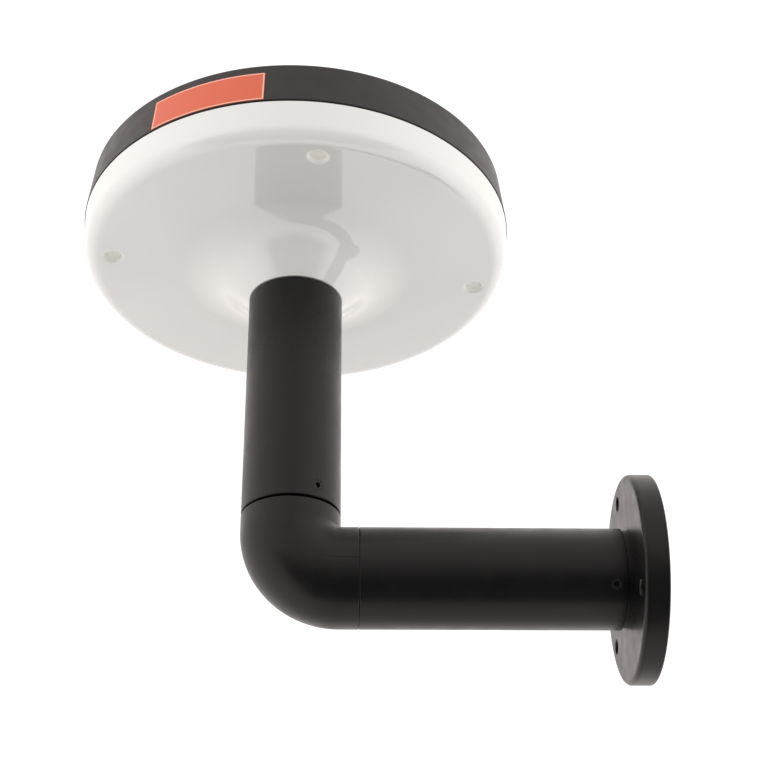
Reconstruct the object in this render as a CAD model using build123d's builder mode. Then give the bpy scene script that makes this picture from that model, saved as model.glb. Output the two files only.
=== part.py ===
from build123d import *
from math import atan2, cos, radians, sin, sqrt, tan
import os

# Solar wall light: a wall flange, a horizontal arm, an elbow and an upright post carry a round lamp
# head, which has a solar panel on top, a black band round its side and an opal diffuser below.
# Sizes are in millimetres. The origin is the centre of the flange's back face, on the wall. The wall
# is the plane X = 0, the arm runs towards -X, and Z is up. Heights are measured from the arm's axis.

# Bracket tubes
tube_diameter = 48.0
tube_wall = 2.5
tube_edge_chamfer = 0.5
wall_to_post_axis = 170.0
post_length = 124.4
fit_clearance = 0.05

# Wall flange
flange_diameter = 99.0
flange_thickness = 11.5
flange_edge_radius = 2.2
flange_back_chamfer = 0.8
flange_hole_from_rim = 9.5
flange_hole_diameter = 7.0
flange_hole_count = 3
flange_hole_angle = 90.0
flange_hole_chamfer = 0.5
flange_shoulder_step = 1.0
arm_end_gap = 2.4
flange_spigot_length = 26.0
spigot_wall = 4.0

# Elbow between arm and post
bend_inner_overlap = 0.6
post_leg_past_bend = 7.7
arm_leg_past_bend = 9.1
elbow_wall = 4.0
elbow_spigot_length = 24.0
elbow_mouth_chamfer = 0.4
post_seam_gap = 1.2
arm_seam_gap = 0.1

# Grub screws that clamp the arm on the flange and the post on the elbow
grub_diameter = 5.0
grub_length = 4.6
grub_sink = 0.2
grub_socket_flats = 2.5
grub_socket_depth = 2.4
grub_tip_chamfer = 0.7
grub_count = 3
grub_groove_width = 6.5
grub_tip_clearance = 0.1
arm_grub_from_end = 5.8
arm_grub_angle = 90.0
post_grub_from_end = 6.6
post_grub_angle = -57.0

# Lamp head: its widest place is the foot of the band
head_diameter = 224.0

# Diffuser
diffuser_wall = 2.0
diffuser_foot_in_post = 6.0
funnel_foot_above_post = 0.4
funnel_foot_past_bore = 2.7
mouth_diameter = 93.4
flat_above_funnel_foot = 19.0
diffuser_rim_inset = 0.4
diffuser_side_lean = 2.0
diffuser_depth = 19.8
collar_blend = 0.3
funnel_foot_blend = 0.4
mouth_blend_run = 14.0
diffuser_corner_radius = 8.0
screw_from_rim = 16.1
screw_count = 4
screw_angle = 7.0
recess_diameter = 8.2
recess_depth = 11.0
recess_mouth_radius = 1.9
recess_floor = 2.4
recess_cup_wall = 2.0

# Diffuser screws and their threaded inserts
diffuser_screw_diameter = 4.0
diffuser_screw_head_diameter = 7.2
diffuser_screw_head_height = 2.6
insert_diameter = 6.0
boss_wall = 3.0
boss_gap = 0.1

# Housing of the lamp head
gasket_thickness = 0.6
gasket_width = 1.6
gasket_inset = 0.3
band_height = 25.2
band_draft = 2.8
band_top_edge_radius = 1.6
band_bottom_edge_radius = 0.5
lip_clearance = 0.6
lip_wall = 2.2
deck_thickness = 2.0
panel_border = 4.0
panel_recess_depth = 5.2
ledge_width = 5.2
ledge_thickness = 2.0

# Solar panel
panel_side_clearance = 0.3
panel_seal_thickness = 0.5
panel_seal_width = 4.0
backsheet_thickness = 1.2
cell_edge_margin = 2.2
cell_gap = 1.5
cell_columns = 2
cell_rows = 6
cell_thickness = 0.25
ribbon_width = 1.5
ribbon_thickness = 0.1
ribbons_per_column = 2
panel_glass_thickness = 2.7
panel_layer_gap = 0.05

# Stem that carries the head in the post
stem_spigot_length = 30.0
stem_wall = 5.0
stem_neck_clearance = 0.2
stem_flange_diameter = 72.0
stem_flange_thickness = 4.0
stem_screw_circle = 58.0
stem_screw_count = 4
stem_screw_diameter = 4.0
stem_screw_length = 10.0
stem_screw_head_diameter = 7.0
stem_screw_head_height = 2.4
stem_boss_diameter = 10.0
stem_boss_height = 9.0

# Light board
led_board_inner_diameter = 92.0
led_board_from_bosses = 5.5
led_board_thickness = 1.6
led_ring_counts = (16, 24)
led_ring_shares = (0.26, 0.66)
led_length = 3.5
led_width = 2.8
led_height = 0.8
led_screw_inset = 5.0
led_screw_count = 6
led_screw_diameter = 3.0
led_screw_length = 3.2
led_screw_head_diameter = 5.6
led_screw_head_height = 1.8

# Batteries, along Y on the -X side of the stem
battery_diameter = 18.2
battery_length = 65.0
battery_count = 3
battery_pitch = 18.8
battery_from_axis = 55.9
battery_headroom = 2.5
battery_cap_diameter = 6.0
battery_cap_height = 1.0
tray_floor = 1.2
tray_wall = 1.6
tray_height = 11.0
tray_clearance = 0.4
contact_thickness = 0.4
contact_height = 8.0

# Charge controller, on the +X side of the stem
board_length = 60.0
board_width = 40.0
board_thickness = 1.6
board_from_axis = 65.0
standoff_height = 5.0
standoff_diameter = 6.0
board_screw_inset = 4.0
board_screw_diameter = 2.5
board_screw_length = 6.0
board_screw_head_diameter = 4.6
board_screw_head_height = 1.6
coil_size = 9.0
coil_height = 5.0
capacitor_diameter = 6.3
capacitor_height = 8.0
capacitor_pitch = 9.0
chip_length = 9.0
chip_width = 5.0
chip_height = 1.6
plug_length = 8.0
plug_width = 6.0
plug_height = 6.0
plug_pitch = 14.0

# Leads inside the head
lead_diameter = 1.6
lead_pitch = 2.4
lead_bend = 3.0
led_pad_reach = 5.0
battery_lead_short_run = 7.0
battery_lead_long_run = 12.0
grommet_from_board = 4.5
grommet_hole_diameter = 7.5
grommet_bore = 5.2
grommet_flange = 1.2
grommet_flange_thickness = 1.0

# Blank label on the band
label_start_angle = -128.5
label_sweep = 31.0
label_above_band_foot = 0.6
label_height = 18.6
label_thickness = 0.25
label_stand_off = 0.02

# Sizes that follow from the ones above
tube_radius = tube_diameter / 2
bore_radius = tube_radius - tube_wall
spigot_radius = bore_radius - fit_clearance
spigot_core_radius = spigot_radius - spigot_wall
groove_radius = tube_radius - grub_sink - grub_length - grub_tip_clearance
flange_hole_radius = flange_hole_diameter / 2
flange_hole_ring = flange_diameter / 2 - flange_hole_from_rim
bend_radius = tube_radius - bend_inner_overlap
elbow_post_leg = bend_radius + post_leg_past_bend
elbow_arm_leg = bend_radius + arm_leg_past_bend
post_x = -wall_to_post_axis
arm_start = flange_thickness + arm_end_gap
arm_end = wall_to_post_axis - elbow_arm_leg - arm_seam_gap
arm_grub_place = arm_start + arm_grub_from_end
post_foot = elbow_post_leg + post_seam_gap
post_end = post_foot + post_length
post_grub_place = post_foot + post_grub_from_end
collar_radius = bore_radius - stem_neck_clearance
collar_foot = post_end - diffuser_foot_in_post
funnel_foot = post_end + funnel_foot_above_post
funnel_foot_radius = bore_radius + funnel_foot_past_bore
flat_level = funnel_foot + flat_above_funnel_foot
diffuser_rim = flat_level + diffuser_depth
band_foot_radius = head_diameter / 2
band_top_radius = band_foot_radius - band_draft
diffuser_rim_radius = band_foot_radius - diffuser_rim_inset
diffuser_flat_radius = diffuser_rim_radius - diffuser_side_lean
screw_ring = diffuser_rim_radius - screw_from_rim
recess_radius = recess_diameter / 2
recess_top = flat_level + recess_depth
cup_top = recess_top + recess_floor
band_bottom = diffuser_rim + gasket_thickness
band_top = band_bottom + band_height
lip_radius = diffuser_rim_radius - diffuser_wall - lip_clearance
ledge_top = band_top - panel_recess_depth
panel_recess_radius = band_top_radius - panel_border
ledge_inner_radius = panel_recess_radius - ledge_width
panel_radius = panel_recess_radius - panel_side_clearance
backsheet_bottom = ledge_top + panel_seal_thickness
battery_seat_height = tray_floor + tray_clearance / 4
deck_top = backsheet_bottom - battery_headroom - battery_diameter - battery_seat_height
deck_bottom = deck_top - deck_thickness
cell_array_side = sqrt(2) * (panel_radius - cell_edge_margin)
cell_length = (cell_array_side + cell_gap) / cell_columns - cell_gap
cell_width = (cell_array_side + cell_gap) / cell_rows - cell_gap
cells_bottom = backsheet_bottom + backsheet_thickness
ribbons_bottom = cells_bottom + cell_thickness
panel_glass_bottom = ribbons_bottom + ribbon_thickness + panel_layer_gap
stem_neck_radius = collar_radius - diffuser_wall - stem_neck_clearance
stem_bore_radius = stem_neck_radius - stem_wall
stem_flange_bottom = deck_bottom - stem_flange_thickness
led_board_bottom = deck_bottom - led_board_thickness
boss_foot = cup_top + boss_gap
boss_radius = insert_diameter / 2 + boss_wall
boss_height = deck_top - boss_foot
led_board_inner_radius = led_board_inner_diameter / 2
led_board_outer_radius = screw_ring - boss_radius - led_board_from_bosses
led_board_span = led_board_outer_radius - led_board_inner_radius
led_screw_ring = led_board_outer_radius - led_screw_inset
tray_inner_width = battery_pitch * (battery_count - 1) + battery_diameter + 2 * tray_clearance
tray_inner_length = battery_length + battery_cap_height + 2 * (contact_thickness + tray_clearance)
battery_axis_level = deck_top + battery_seat_height + battery_diameter / 2
board_bottom = deck_top + standoff_height
board_top = board_bottom + board_thickness
plug_face = board_from_axis - board_width / 2
grommet_from_axis = plug_face - grommet_from_board

os.makedirs("parts", exist_ok=True)


def arm_section(distance):
    """Upright plane across the arm at a distance from the wall, facing the wall."""
    return Plane.YZ.offset(-distance)


def head_level(height, x=0.0, y=0.0):
    """Horizontal plane at a height, centred on a place measured from the post's axis."""
    return Plane(origin=(post_x + x, y, height))


def head_level_down(height, x=0.0, y=0.0):
    """The same plane seen from below, so that shapes grow downwards from it."""
    return Plane(origin=(post_x + x, y, height), x_dir=(1, 0, 0), z_dir=(0, 0, -1))


def arm_radial(distance, angle, radius):
    """Plane that faces away from the arm's axis at an angle round it."""
    out = (0, cos(radians(angle)), sin(radians(angle)))
    return Plane(origin=(-distance, radius * out[1], radius * out[2]), x_dir=(1, 0, 0), z_dir=out)


def post_radial(height, angle, radius):
    """Plane that faces away from the post's axis at an angle round it."""
    out = (cos(radians(angle)), sin(radians(angle)), 0)
    return Plane(origin=(post_x + radius * out[0], radius * out[1], height), x_dir=(0, 0, 1), z_dir=out)


def spread(count, first):
    """Evenly spaced angles round a full turn."""
    return [first + 360.0 * step / count for step in range(count)]


def finish(builder, name):
    """Labels a finished piece and writes it."""
    builder.part.label = name
    export_step(builder.part, f"parts/{name}.step")


post_axis = Axis((post_x, 0, 0), (0, 0, 1))
post_section = Plane(origin=(post_x, 0, 0), x_dir=(1, 0, 0), z_dir=(0, -1, 0))
arm_grub_angles = spread(grub_count, arm_grub_angle)
post_grub_angles = spread(grub_count, post_grub_angle)

# Wall flange: a cast disc with three bolt holes and a hollow spigot for the arm
with BuildPart() as wall_flange:
    with BuildSketch(arm_section(0)):
        Circle(flange_diameter / 2)
    extrude(amount=-flange_thickness)
    rims = wall_flange.edges().filter_by(GeomType.CIRCLE).sort_by(Axis.X)
    fillet(rims[0], flange_edge_radius)
    chamfer(wall_flange.edges().filter_by(GeomType.CIRCLE).sort_by(Axis.X)[-1], flange_back_chamfer)
    with BuildSketch(arm_section(flange_thickness)):
        Circle(tube_radius - flange_shoulder_step)
    extrude(amount=-arm_end_gap)
    with BuildSketch(arm_section(arm_start)):
        Circle(spigot_radius)
    extrude(amount=-flange_spigot_length)
    chamfer(wall_flange.edges().filter_by(GeomType.CIRCLE).sort_by(Axis.X)[0], tube_edge_chamfer)
    with BuildSketch(arm_section(arm_grub_place - grub_groove_width / 2)):
        Circle(spigot_radius)
        Circle(groove_radius, mode=Mode.SUBTRACT)
    extrude(amount=-grub_groove_width, mode=Mode.SUBTRACT)
    with BuildSketch(arm_section(0)):
        Circle(spigot_core_radius)
    extrude(amount=-(arm_start + flange_spigot_length), mode=Mode.SUBTRACT)
    with Locations(arm_section(flange_thickness)):
        with PolarLocations(flange_hole_ring, flange_hole_count, flange_hole_angle):
            Hole(flange_hole_radius, depth=2 * flange_thickness)
    hole_edges = wall_flange.edges().filter_by(GeomType.CIRCLE)
    hole_edges = hole_edges.filter_by(lambda edge: abs(edge.radius - flange_hole_radius) < fit_clearance)
    chamfer(hole_edges, flange_hole_chamfer)
finish(wall_flange, "wall_flange")

# Arm: straight tube from the flange to the elbow, tapped for its grub screws
with BuildPart() as arm_tube:
    with BuildSketch(arm_section(arm_start)):
        Circle(tube_radius)
        Circle(bore_radius, mode=Mode.SUBTRACT)
    extrude(amount=-(arm_end - arm_start))
    chamfer(arm_tube.edges().filter_by(GeomType.CIRCLE).group_by(SortBy.RADIUS)[-1], tube_edge_chamfer)
    for angle in arm_grub_angles:
        with BuildSketch(arm_radial(arm_grub_place, angle, 0)):
            Circle(grub_diameter / 2)
        extrude(amount=tube_diameter, mode=Mode.SUBTRACT)
finish(arm_tube, "arm_tube")


def grub_screws(planes):
    """Socket-head grub screws, each sunk a little below a plane that faces away from the tube."""
    with BuildPart() as screws:
        for plane in planes:
            with BuildSketch(plane):
                Circle(grub_diameter / 2 - fit_clearance)
            extrude(amount=-grub_length)
        tips = screws.edges().filter_by(GeomType.CIRCLE)
        inner_planes = [plane.offset(-grub_length) for plane in planes]
        for plane in inner_planes:
            chamfer(tips.filter_by(lambda edge, p=plane: p.contains(edge.arc_center)), grub_tip_chamfer)
        for plane in planes:
            with BuildSketch(plane):
                RegularPolygon(grub_socket_flats / 2, 6, major_radius=False)
            extrude(amount=-grub_socket_depth, mode=Mode.SUBTRACT)
    return screws


arm_grub_screws = grub_screws(
    [arm_radial(arm_grub_place, angle, tube_radius - grub_sink) for angle in arm_grub_angles]
)
finish(arm_grub_screws, "arm_grub_screws")

# Elbow: a hollow casting bent through a right angle, with a spigot in the arm and one in the post
# Inside the bend its two legs run into each other in a crease, outside it is a quarter ring
with BuildPart() as elbow:
    with BuildLine(Plane.XZ) as bend:
        FilletPolyline(
            (post_x + elbow_arm_leg, 0), (post_x, 0), (post_x, elbow_post_leg), radius=bend_radius
        )
    arm_mouth = arm_section(wall_to_post_axis - elbow_arm_leg)
    with BuildSketch(arm_mouth):
        Circle(tube_radius)
    extrude(amount=-arm_leg_past_bend)
    with BuildSketch(head_level(elbow_post_leg)):
        Circle(tube_radius)
    extrude(amount=-post_leg_past_bend)
    with BuildSketch(head_level(bend_radius)):
        Circle(tube_radius)
        with Locations((bend_radius, 0)):
            Rectangle(
                bend_radius + tube_diameter,
                2 * tube_diameter,
                align=(Align.MAX, Align.CENTER),
                mode=Mode.INTERSECT,
            )
    revolve(axis=Axis((post_x + bend_radius, 0, bend_radius), (0, -1, 0)), revolution_arc=90)
    mouths = elbow.edges().filter_by(GeomType.CIRCLE).filter_by(lambda edge: edge.is_closed)
    mouths = mouths.filter_by(lambda edge: abs(edge.radius - tube_radius) < fit_clearance)
    post_mouth = mouths.sort_by(Axis.Z)[-1]
    chamfer([post_mouth, mouths.sort_by(Axis.X)[-1]], elbow_mouth_chamfer)
    with BuildSketch(arm_mouth):
        Circle(tube_radius - elbow_wall)
    sweep(path=bend.line, mode=Mode.SUBTRACT)
    with BuildSketch(arm_mouth.offset(-elbow_wall)):
        Circle(tube_radius - elbow_wall / 2)
        Circle(spigot_core_radius, mode=Mode.SUBTRACT)
    extrude(amount=elbow_wall)
    with BuildSketch(arm_mouth):
        Circle(spigot_radius)
        Circle(spigot_core_radius, mode=Mode.SUBTRACT)
    extrude(amount=elbow_spigot_length)
    with BuildSketch(head_level(elbow_post_leg - elbow_wall)):
        Circle(tube_radius - elbow_wall / 2)
        Circle(spigot_core_radius, mode=Mode.SUBTRACT)
    extrude(amount=elbow_wall)
    with BuildSketch(head_level(elbow_post_leg)):
        Circle(spigot_radius)
        Circle(spigot_core_radius, mode=Mode.SUBTRACT)
    extrude(amount=elbow_spigot_length)
    with BuildSketch(head_level(post_grub_place - grub_groove_width / 2)):
        Circle(spigot_radius)
        Circle(groove_radius, mode=Mode.SUBTRACT)
    extrude(amount=grub_groove_width, mode=Mode.SUBTRACT)
finish(elbow, "elbow")

# Post: upright tube from the elbow to the head, tapped for its grub screws
with BuildPart() as post_tube:
    with BuildSketch(head_level(post_foot)):
        Circle(tube_radius)
        Circle(bore_radius, mode=Mode.SUBTRACT)
    extrude(amount=post_length)
    chamfer(post_tube.edges().filter_by(GeomType.CIRCLE).group_by(SortBy.RADIUS)[-1], tube_edge_chamfer)
    for angle in post_grub_angles:
        with BuildSketch(post_radial(post_grub_place, angle, 0)):
            Circle(grub_diameter / 2)
        extrude(amount=tube_diameter, mode=Mode.SUBTRACT)
finish(post_tube, "post_tube")

post_grub_screws = grub_screws(
    [post_radial(post_grub_place, angle, tube_radius - grub_sink) for angle in post_grub_angles]
)
finish(post_grub_screws, "post_grub_screws")

# Stem: spigot pressed into the post, a neck through the diffuser and a flange under the deck
with BuildPart() as head_stem:
    with BuildSketch(head_level(post_end - stem_spigot_length)):
        Circle(spigot_radius)
    extrude(amount=stem_spigot_length - diffuser_foot_in_post - fit_clearance)
    with BuildSketch(head_level(post_end - stem_spigot_length)):
        Circle(stem_neck_radius)
    extrude(amount=deck_bottom - post_end + stem_spigot_length)
    with BuildSketch(head_level(stem_flange_bottom)):
        Circle(stem_flange_diameter / 2)
    extrude(amount=stem_flange_thickness)
    with BuildSketch(head_level(post_end - stem_spigot_length)):
        Circle(stem_bore_radius)
    extrude(amount=deck_bottom - post_end + stem_spigot_length, mode=Mode.SUBTRACT)
    with BuildSketch(head_level(stem_flange_bottom)):
        with PolarLocations(stem_screw_circle / 2, stem_screw_count, 180 / stem_screw_count):
            Circle(stem_screw_diameter / 2 + fit_clearance)
    extrude(amount=stem_flange_thickness, mode=Mode.SUBTRACT)
finish(head_stem, "head_stem")

# Housing: moulded ring with the band outside, a deck below, a ledge for the panel and bosses
with BuildPart() as head_housing:
    with BuildSketch(post_section):
        with BuildLine():
            Polyline(
                (stem_bore_radius, deck_bottom),
                (lip_radius, deck_bottom),
                (lip_radius, band_bottom),
                (band_foot_radius, band_bottom),
                (band_top_radius, band_top),
                (panel_recess_radius, band_top),
                (panel_recess_radius, ledge_top),
                (ledge_inner_radius, ledge_top),
                (ledge_inner_radius, ledge_top - ledge_thickness),
                (lip_radius - lip_wall, ledge_top - ledge_thickness),
                (lip_radius - lip_wall, deck_top),
                (stem_bore_radius, deck_top),
                close=True,
            )
        make_face()
    revolve(axis=post_axis)
    rounds = head_housing.edges().filter_by(GeomType.CIRCLE)
    fillet(rounds.group_by(Axis.Z)[-1].sort_by(SortBy.RADIUS)[-1], band_top_edge_radius)
    rounds = head_housing.edges().filter_by(GeomType.CIRCLE)
    fillet(rounds.sort_by(SortBy.RADIUS)[-1], band_bottom_edge_radius)
    with BuildSketch(head_level(boss_foot)):
        with PolarLocations(screw_ring, screw_count, screw_angle):
            Circle(boss_radius)
    extrude(amount=boss_height)
    with BuildSketch(head_level(deck_top)):
        with PolarLocations(stem_screw_circle / 2, stem_screw_count, 180 / stem_screw_count):
            Circle(stem_boss_diameter / 2)
    extrude(amount=stem_boss_height)
    with BuildSketch(head_level(deck_top, board_from_axis)):
        with GridLocations(board_width - 2 * board_screw_inset, board_length - 2 * board_screw_inset, 2, 2):
            Circle(standoff_diameter / 2)
    extrude(amount=standoff_height)
    with BuildSketch(head_level(boss_foot)):
        with PolarLocations(screw_ring, screw_count, screw_angle):
            Circle(insert_diameter / 2)
    extrude(amount=boss_height, mode=Mode.SUBTRACT)
    with BuildSketch(head_level(deck_bottom)):
        with PolarLocations(stem_screw_circle / 2, stem_screw_count, 180 / stem_screw_count):
            Circle(stem_screw_diameter / 2)
    extrude(amount=stem_screw_length - stem_flange_thickness + fit_clearance, mode=Mode.SUBTRACT)
    with BuildSketch(head_level(deck_bottom)):
        with PolarLocations(led_screw_ring, led_screw_count):
            Circle(led_screw_diameter / 2)
    extrude(amount=deck_thickness, mode=Mode.SUBTRACT)
    with BuildSketch(head_level(deck_bottom, grommet_from_axis)):
        Circle(grommet_hole_diameter / 2)
    extrude(amount=deck_thickness, mode=Mode.SUBTRACT)
    with BuildSketch(head_level(board_bottom, board_from_axis)):
        with GridLocations(board_width - 2 * board_screw_inset, board_length - 2 * board_screw_inset, 2, 2):
            Circle(board_screw_diameter / 2)
    extrude(amount=-(board_screw_length - board_thickness + fit_clearance), mode=Mode.SUBTRACT)
finish(head_housing, "head_housing")

# Diffuser: opal bowl with a flat ring, a funnel down to the post and four deep screw recesses
def blend_radius(run, before, corner, after):
    """Radius of a blend that starts and ends at a run's length from a corner between two straights."""
    way_in = atan2(corner[1] - before[1], corner[0] - before[0])
    way_out = atan2(after[1] - corner[1], after[0] - corner[0])
    return run / tan(abs(way_out - way_in) / 2)


collar_corner = (collar_radius, funnel_foot)
funnel_corner = (funnel_foot_radius, funnel_foot)
mouth_corner = (mouth_diameter / 2, flat_level)
flat_corner = (diffuser_flat_radius, flat_level)
rim_corner = (diffuser_rim_radius, diffuser_rim)
mouth_blend = blend_radius(mouth_blend_run, funnel_corner, mouth_corner, flat_corner)
with BuildPart() as diffuser:
    with BuildSketch(post_section):
        with BuildLine() as skin:
            FilletPolyline(
                (collar_radius, collar_foot),
                collar_corner,
                funnel_corner,
                mouth_corner,
                flat_corner,
                rim_corner,
                radius=[collar_blend, funnel_foot_blend, mouth_blend, diffuser_corner_radius],
            )
            offset(amount=diffuser_wall, side=Side.LEFT, closed=True)
        make_face()
    revolve(axis=post_axis)
    split(bisect_by=head_level(diffuser_rim), keep=Keep.BOTTOM)
    with BuildSketch(head_level(flat_level)):
        with PolarLocations(screw_ring, screw_count, screw_angle):
            Circle(recess_radius + recess_cup_wall)
    extrude(amount=cup_top - flat_level)
    with BuildSketch(head_level(flat_level)):
        with PolarLocations(screw_ring, screw_count, screw_angle):
            Circle(recess_radius)
    extrude(amount=recess_depth, mode=Mode.SUBTRACT)
    with BuildSketch(head_level(recess_top)):
        with PolarLocations(screw_ring, screw_count, screw_angle):
            Circle(diffuser_screw_diameter / 2 + fit_clearance)
    extrude(amount=recess_floor, mode=Mode.SUBTRACT)
    recess_mouths = diffuser.edges().filter_by(GeomType.CIRCLE)
    recess_mouths = recess_mouths.filter_by(lambda edge: abs(edge.radius - recess_radius) < fit_clearance)
    fillet(recess_mouths.group_by(Axis.Z)[0], recess_mouth_radius)
finish(diffuser, "diffuser")

# Gasket between the diffuser's rim and the band
with BuildPart() as diffuser_gasket:
    with BuildSketch(head_level(diffuser_rim)):
        Circle(diffuser_rim_radius - gasket_inset)
        Circle(diffuser_rim_radius - gasket_inset - gasket_width, mode=Mode.SUBTRACT)
    extrude(amount=gasket_thickness)
finish(diffuser_gasket, "diffuser_gasket")


def pan_screws(places, seat, shank_diameter, shank_length, head_diameter, head_height, grow):
    """Cross-slotted pan-head screws: a head under or over its seat, and a shank through the seat."""
    slot_width = shank_diameter / 4
    slot_depth = head_height / 2
    with BuildPart() as screws:
        for x, y in places:
            seat_plane = head_level(seat, x, y) if grow > 0 else head_level_down(seat, x, y)
            with BuildSketch(seat_plane):
                Circle(shank_diameter / 2 - fit_clearance)
            extrude(amount=shank_length)
            with BuildSketch(seat_plane):
                Circle(head_diameter / 2)
            extrude(amount=-head_height)
        crown_level = seat - grow * head_height
        crowns = screws.edges().filter_by(GeomType.CIRCLE)
        crowns = crowns.filter_by(lambda edge: abs(edge.arc_center.Z - crown_level) < fit_clearance)
        fillet(crowns, head_height / 3)
        for x, y in places:
            seat_plane = head_level(seat, x, y) if grow > 0 else head_level_down(seat, x, y)
            with BuildSketch(seat_plane.offset(-head_height)):
                Rectangle(head_diameter / 2, slot_width)
                Rectangle(slot_width, head_diameter / 2)
            extrude(amount=slot_depth, mode=Mode.SUBTRACT)
    return screws


def ring_places(radius, count, first=0.0):
    """Places round a circle, measured from the post's axis."""
    return [(radius * cos(radians(angle)), radius * sin(radians(angle))) for angle in spread(count, first)]


diffuser_screws = pan_screws(
    ring_places(screw_ring, screw_count, screw_angle),
    recess_top,
    diffuser_screw_diameter,
    recess_floor + boss_gap + boss_height - fit_clearance,
    diffuser_screw_head_diameter,
    diffuser_screw_head_height,
    1,
)
finish(diffuser_screws, "diffuser_screws")

# Brass inserts in the housing's bosses for the diffuser screws
with BuildPart() as screw_inserts:
    with BuildSketch(head_level(boss_foot)):
        with PolarLocations(screw_ring, screw_count, screw_angle):
            Circle(insert_diameter / 2 - fit_clearance)
            Circle(diffuser_screw_diameter / 2 + fit_clearance / 2, mode=Mode.SUBTRACT)
    extrude(amount=boss_height)
finish(screw_inserts, "screw_inserts")

stem_screws = pan_screws(
    ring_places(stem_screw_circle / 2, stem_screw_count, 180 / stem_screw_count),
    stem_flange_bottom,
    stem_screw_diameter,
    stem_screw_length,
    stem_screw_head_diameter,
    stem_screw_head_height,
    1,
)
finish(stem_screws, "stem_screws")

# Light board: a ring of circuit board under the deck
with BuildPart() as led_board:
    with BuildSketch(head_level(led_board_bottom)):
        Circle(led_board_outer_radius)
        Circle(led_board_inner_radius, mode=Mode.SUBTRACT)
        with PolarLocations(led_screw_ring, led_screw_count):
            Circle(led_screw_diameter / 2 + fit_clearance, mode=Mode.SUBTRACT)
    extrude(amount=led_board_thickness)
finish(led_board, "led_board")

# Light-emitting diodes in two rings under the board
with BuildPart() as led_chips:
    with BuildSketch(head_level_down(led_board_bottom)):
        for ring_share, ring_count in zip(led_ring_shares, led_ring_counts):
            ring_radius = led_board_inner_radius + ring_share * led_board_span
            with PolarLocations(ring_radius, ring_count, 180 / ring_count):
                Rectangle(led_length, led_width)
    extrude(amount=led_height)
finish(led_chips, "led_chips")

led_board_screws = pan_screws(
    ring_places(led_screw_ring, led_screw_count),
    led_board_bottom,
    led_screw_diameter,
    led_screw_length,
    led_screw_head_diameter,
    led_screw_head_height,
    1,
)
finish(led_board_screws, "led_board_screws")

# Battery tray: an open box on the deck with a hollow for each cell
with BuildPart() as battery_tray:
    with BuildSketch(head_level(deck_top, -battery_from_axis)):
        Rectangle(tray_inner_width + 2 * tray_wall, tray_inner_length + 2 * tray_wall)
    extrude(amount=tray_height)
    with BuildSketch(head_level(deck_top + tray_floor, -battery_from_axis)):
        Rectangle(tray_inner_width, tray_inner_length)
    extrude(amount=tray_height, mode=Mode.SUBTRACT)
finish(battery_tray, "battery_tray")

# Rechargeable cells side by side along Y, each with a raised end cap
cell_foot = Plane(
    origin=(post_x - battery_from_axis, -(battery_length + battery_cap_height) / 2, battery_axis_level),
    x_dir=(1, 0, 0),
    z_dir=(0, 1, 0),
)
with BuildPart() as battery_cells:
    with BuildSketch(cell_foot):
        with GridLocations(battery_pitch, battery_pitch, battery_count, 1):
            Circle(battery_diameter / 2)
    extrude(amount=battery_length)
    with BuildSketch(cell_foot.offset(battery_length)):
        with GridLocations(battery_pitch, battery_pitch, battery_count, 1):
            Circle(battery_cap_diameter / 2)
    extrude(amount=battery_cap_height)
finish(battery_cells, "battery_cells")

# Spring-steel contact strips at both ends of the cells
contact_places = [
    -(battery_length + battery_cap_height) / 2 - contact_thickness - fit_clearance,
    (battery_length + battery_cap_height) / 2 + fit_clearance,
]
with BuildPart() as battery_contacts:
    for place in contact_places:
        contact_plane = Plane(
            origin=(post_x - battery_from_axis, place, battery_axis_level), x_dir=(1, 0, 0), z_dir=(0, 1, 0)
        )
        with BuildSketch(contact_plane):
            Rectangle(tray_inner_width - 2 * tray_clearance, contact_height)
        extrude(amount=contact_thickness)
finish(battery_contacts, "battery_contacts")

# Charge controller board on four standoffs
with BuildPart() as controller_board:
    with BuildSketch(head_level(board_bottom, board_from_axis)):
        RectangleRounded(board_width, board_length, board_screw_inset / 2)
        with GridLocations(board_width - 2 * board_screw_inset, board_length - 2 * board_screw_inset, 2, 2):
            Circle(board_screw_diameter / 2 + fit_clearance, mode=Mode.SUBTRACT)
    extrude(amount=board_thickness)
finish(controller_board, "controller_board")

board_screw_x = board_width / 2 - board_screw_inset
board_screw_y = board_length / 2 - board_screw_inset
board_screw_places = [
    (board_from_axis + side * board_screw_x, end * board_screw_y)
    for side in (-1, 1)
    for end in (-1, 1)
]
controller_screws = pan_screws(
    board_screw_places,
    board_top,
    board_screw_diameter,
    board_screw_length,
    board_screw_head_diameter,
    board_screw_head_height,
    -1,
)
finish(controller_screws, "controller_screws")

# Coil, capacitors and chips on the controller board
with BuildPart() as controller_parts:
    with BuildSketch(head_level(board_top, board_from_axis + coil_size, coil_size)):
        RectangleRounded(coil_size, coil_size, coil_size / 5)
    extrude(amount=coil_height)
    with BuildSketch(head_level(board_top, board_from_axis + coil_size, -coil_size)):
        with GridLocations(capacitor_pitch, capacitor_pitch, 1, 2):
            Circle(capacitor_diameter / 2)
    extrude(amount=capacitor_height)
    with BuildSketch(head_level(board_top, board_from_axis - chip_width / 2)):
        with GridLocations(chip_length, 2 * chip_length, 1, 2):
            Rectangle(chip_width, chip_length)
    extrude(amount=chip_height)
finish(controller_parts, "controller_parts")

# Three sockets on the board's edge nearest the stem: panel, light board and battery
plug_x = plug_face + plug_length / 2
plug_places = [-plug_pitch, 0.0, plug_pitch]
with BuildPart() as controller_sockets:
    with BuildSketch(head_level(board_top, plug_x)):
        with GridLocations(plug_length, plug_pitch, 1, len(plug_places)):
            Rectangle(plug_length, plug_width)
    extrude(amount=plug_height)
finish(controller_sockets, "controller_sockets")

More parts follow.
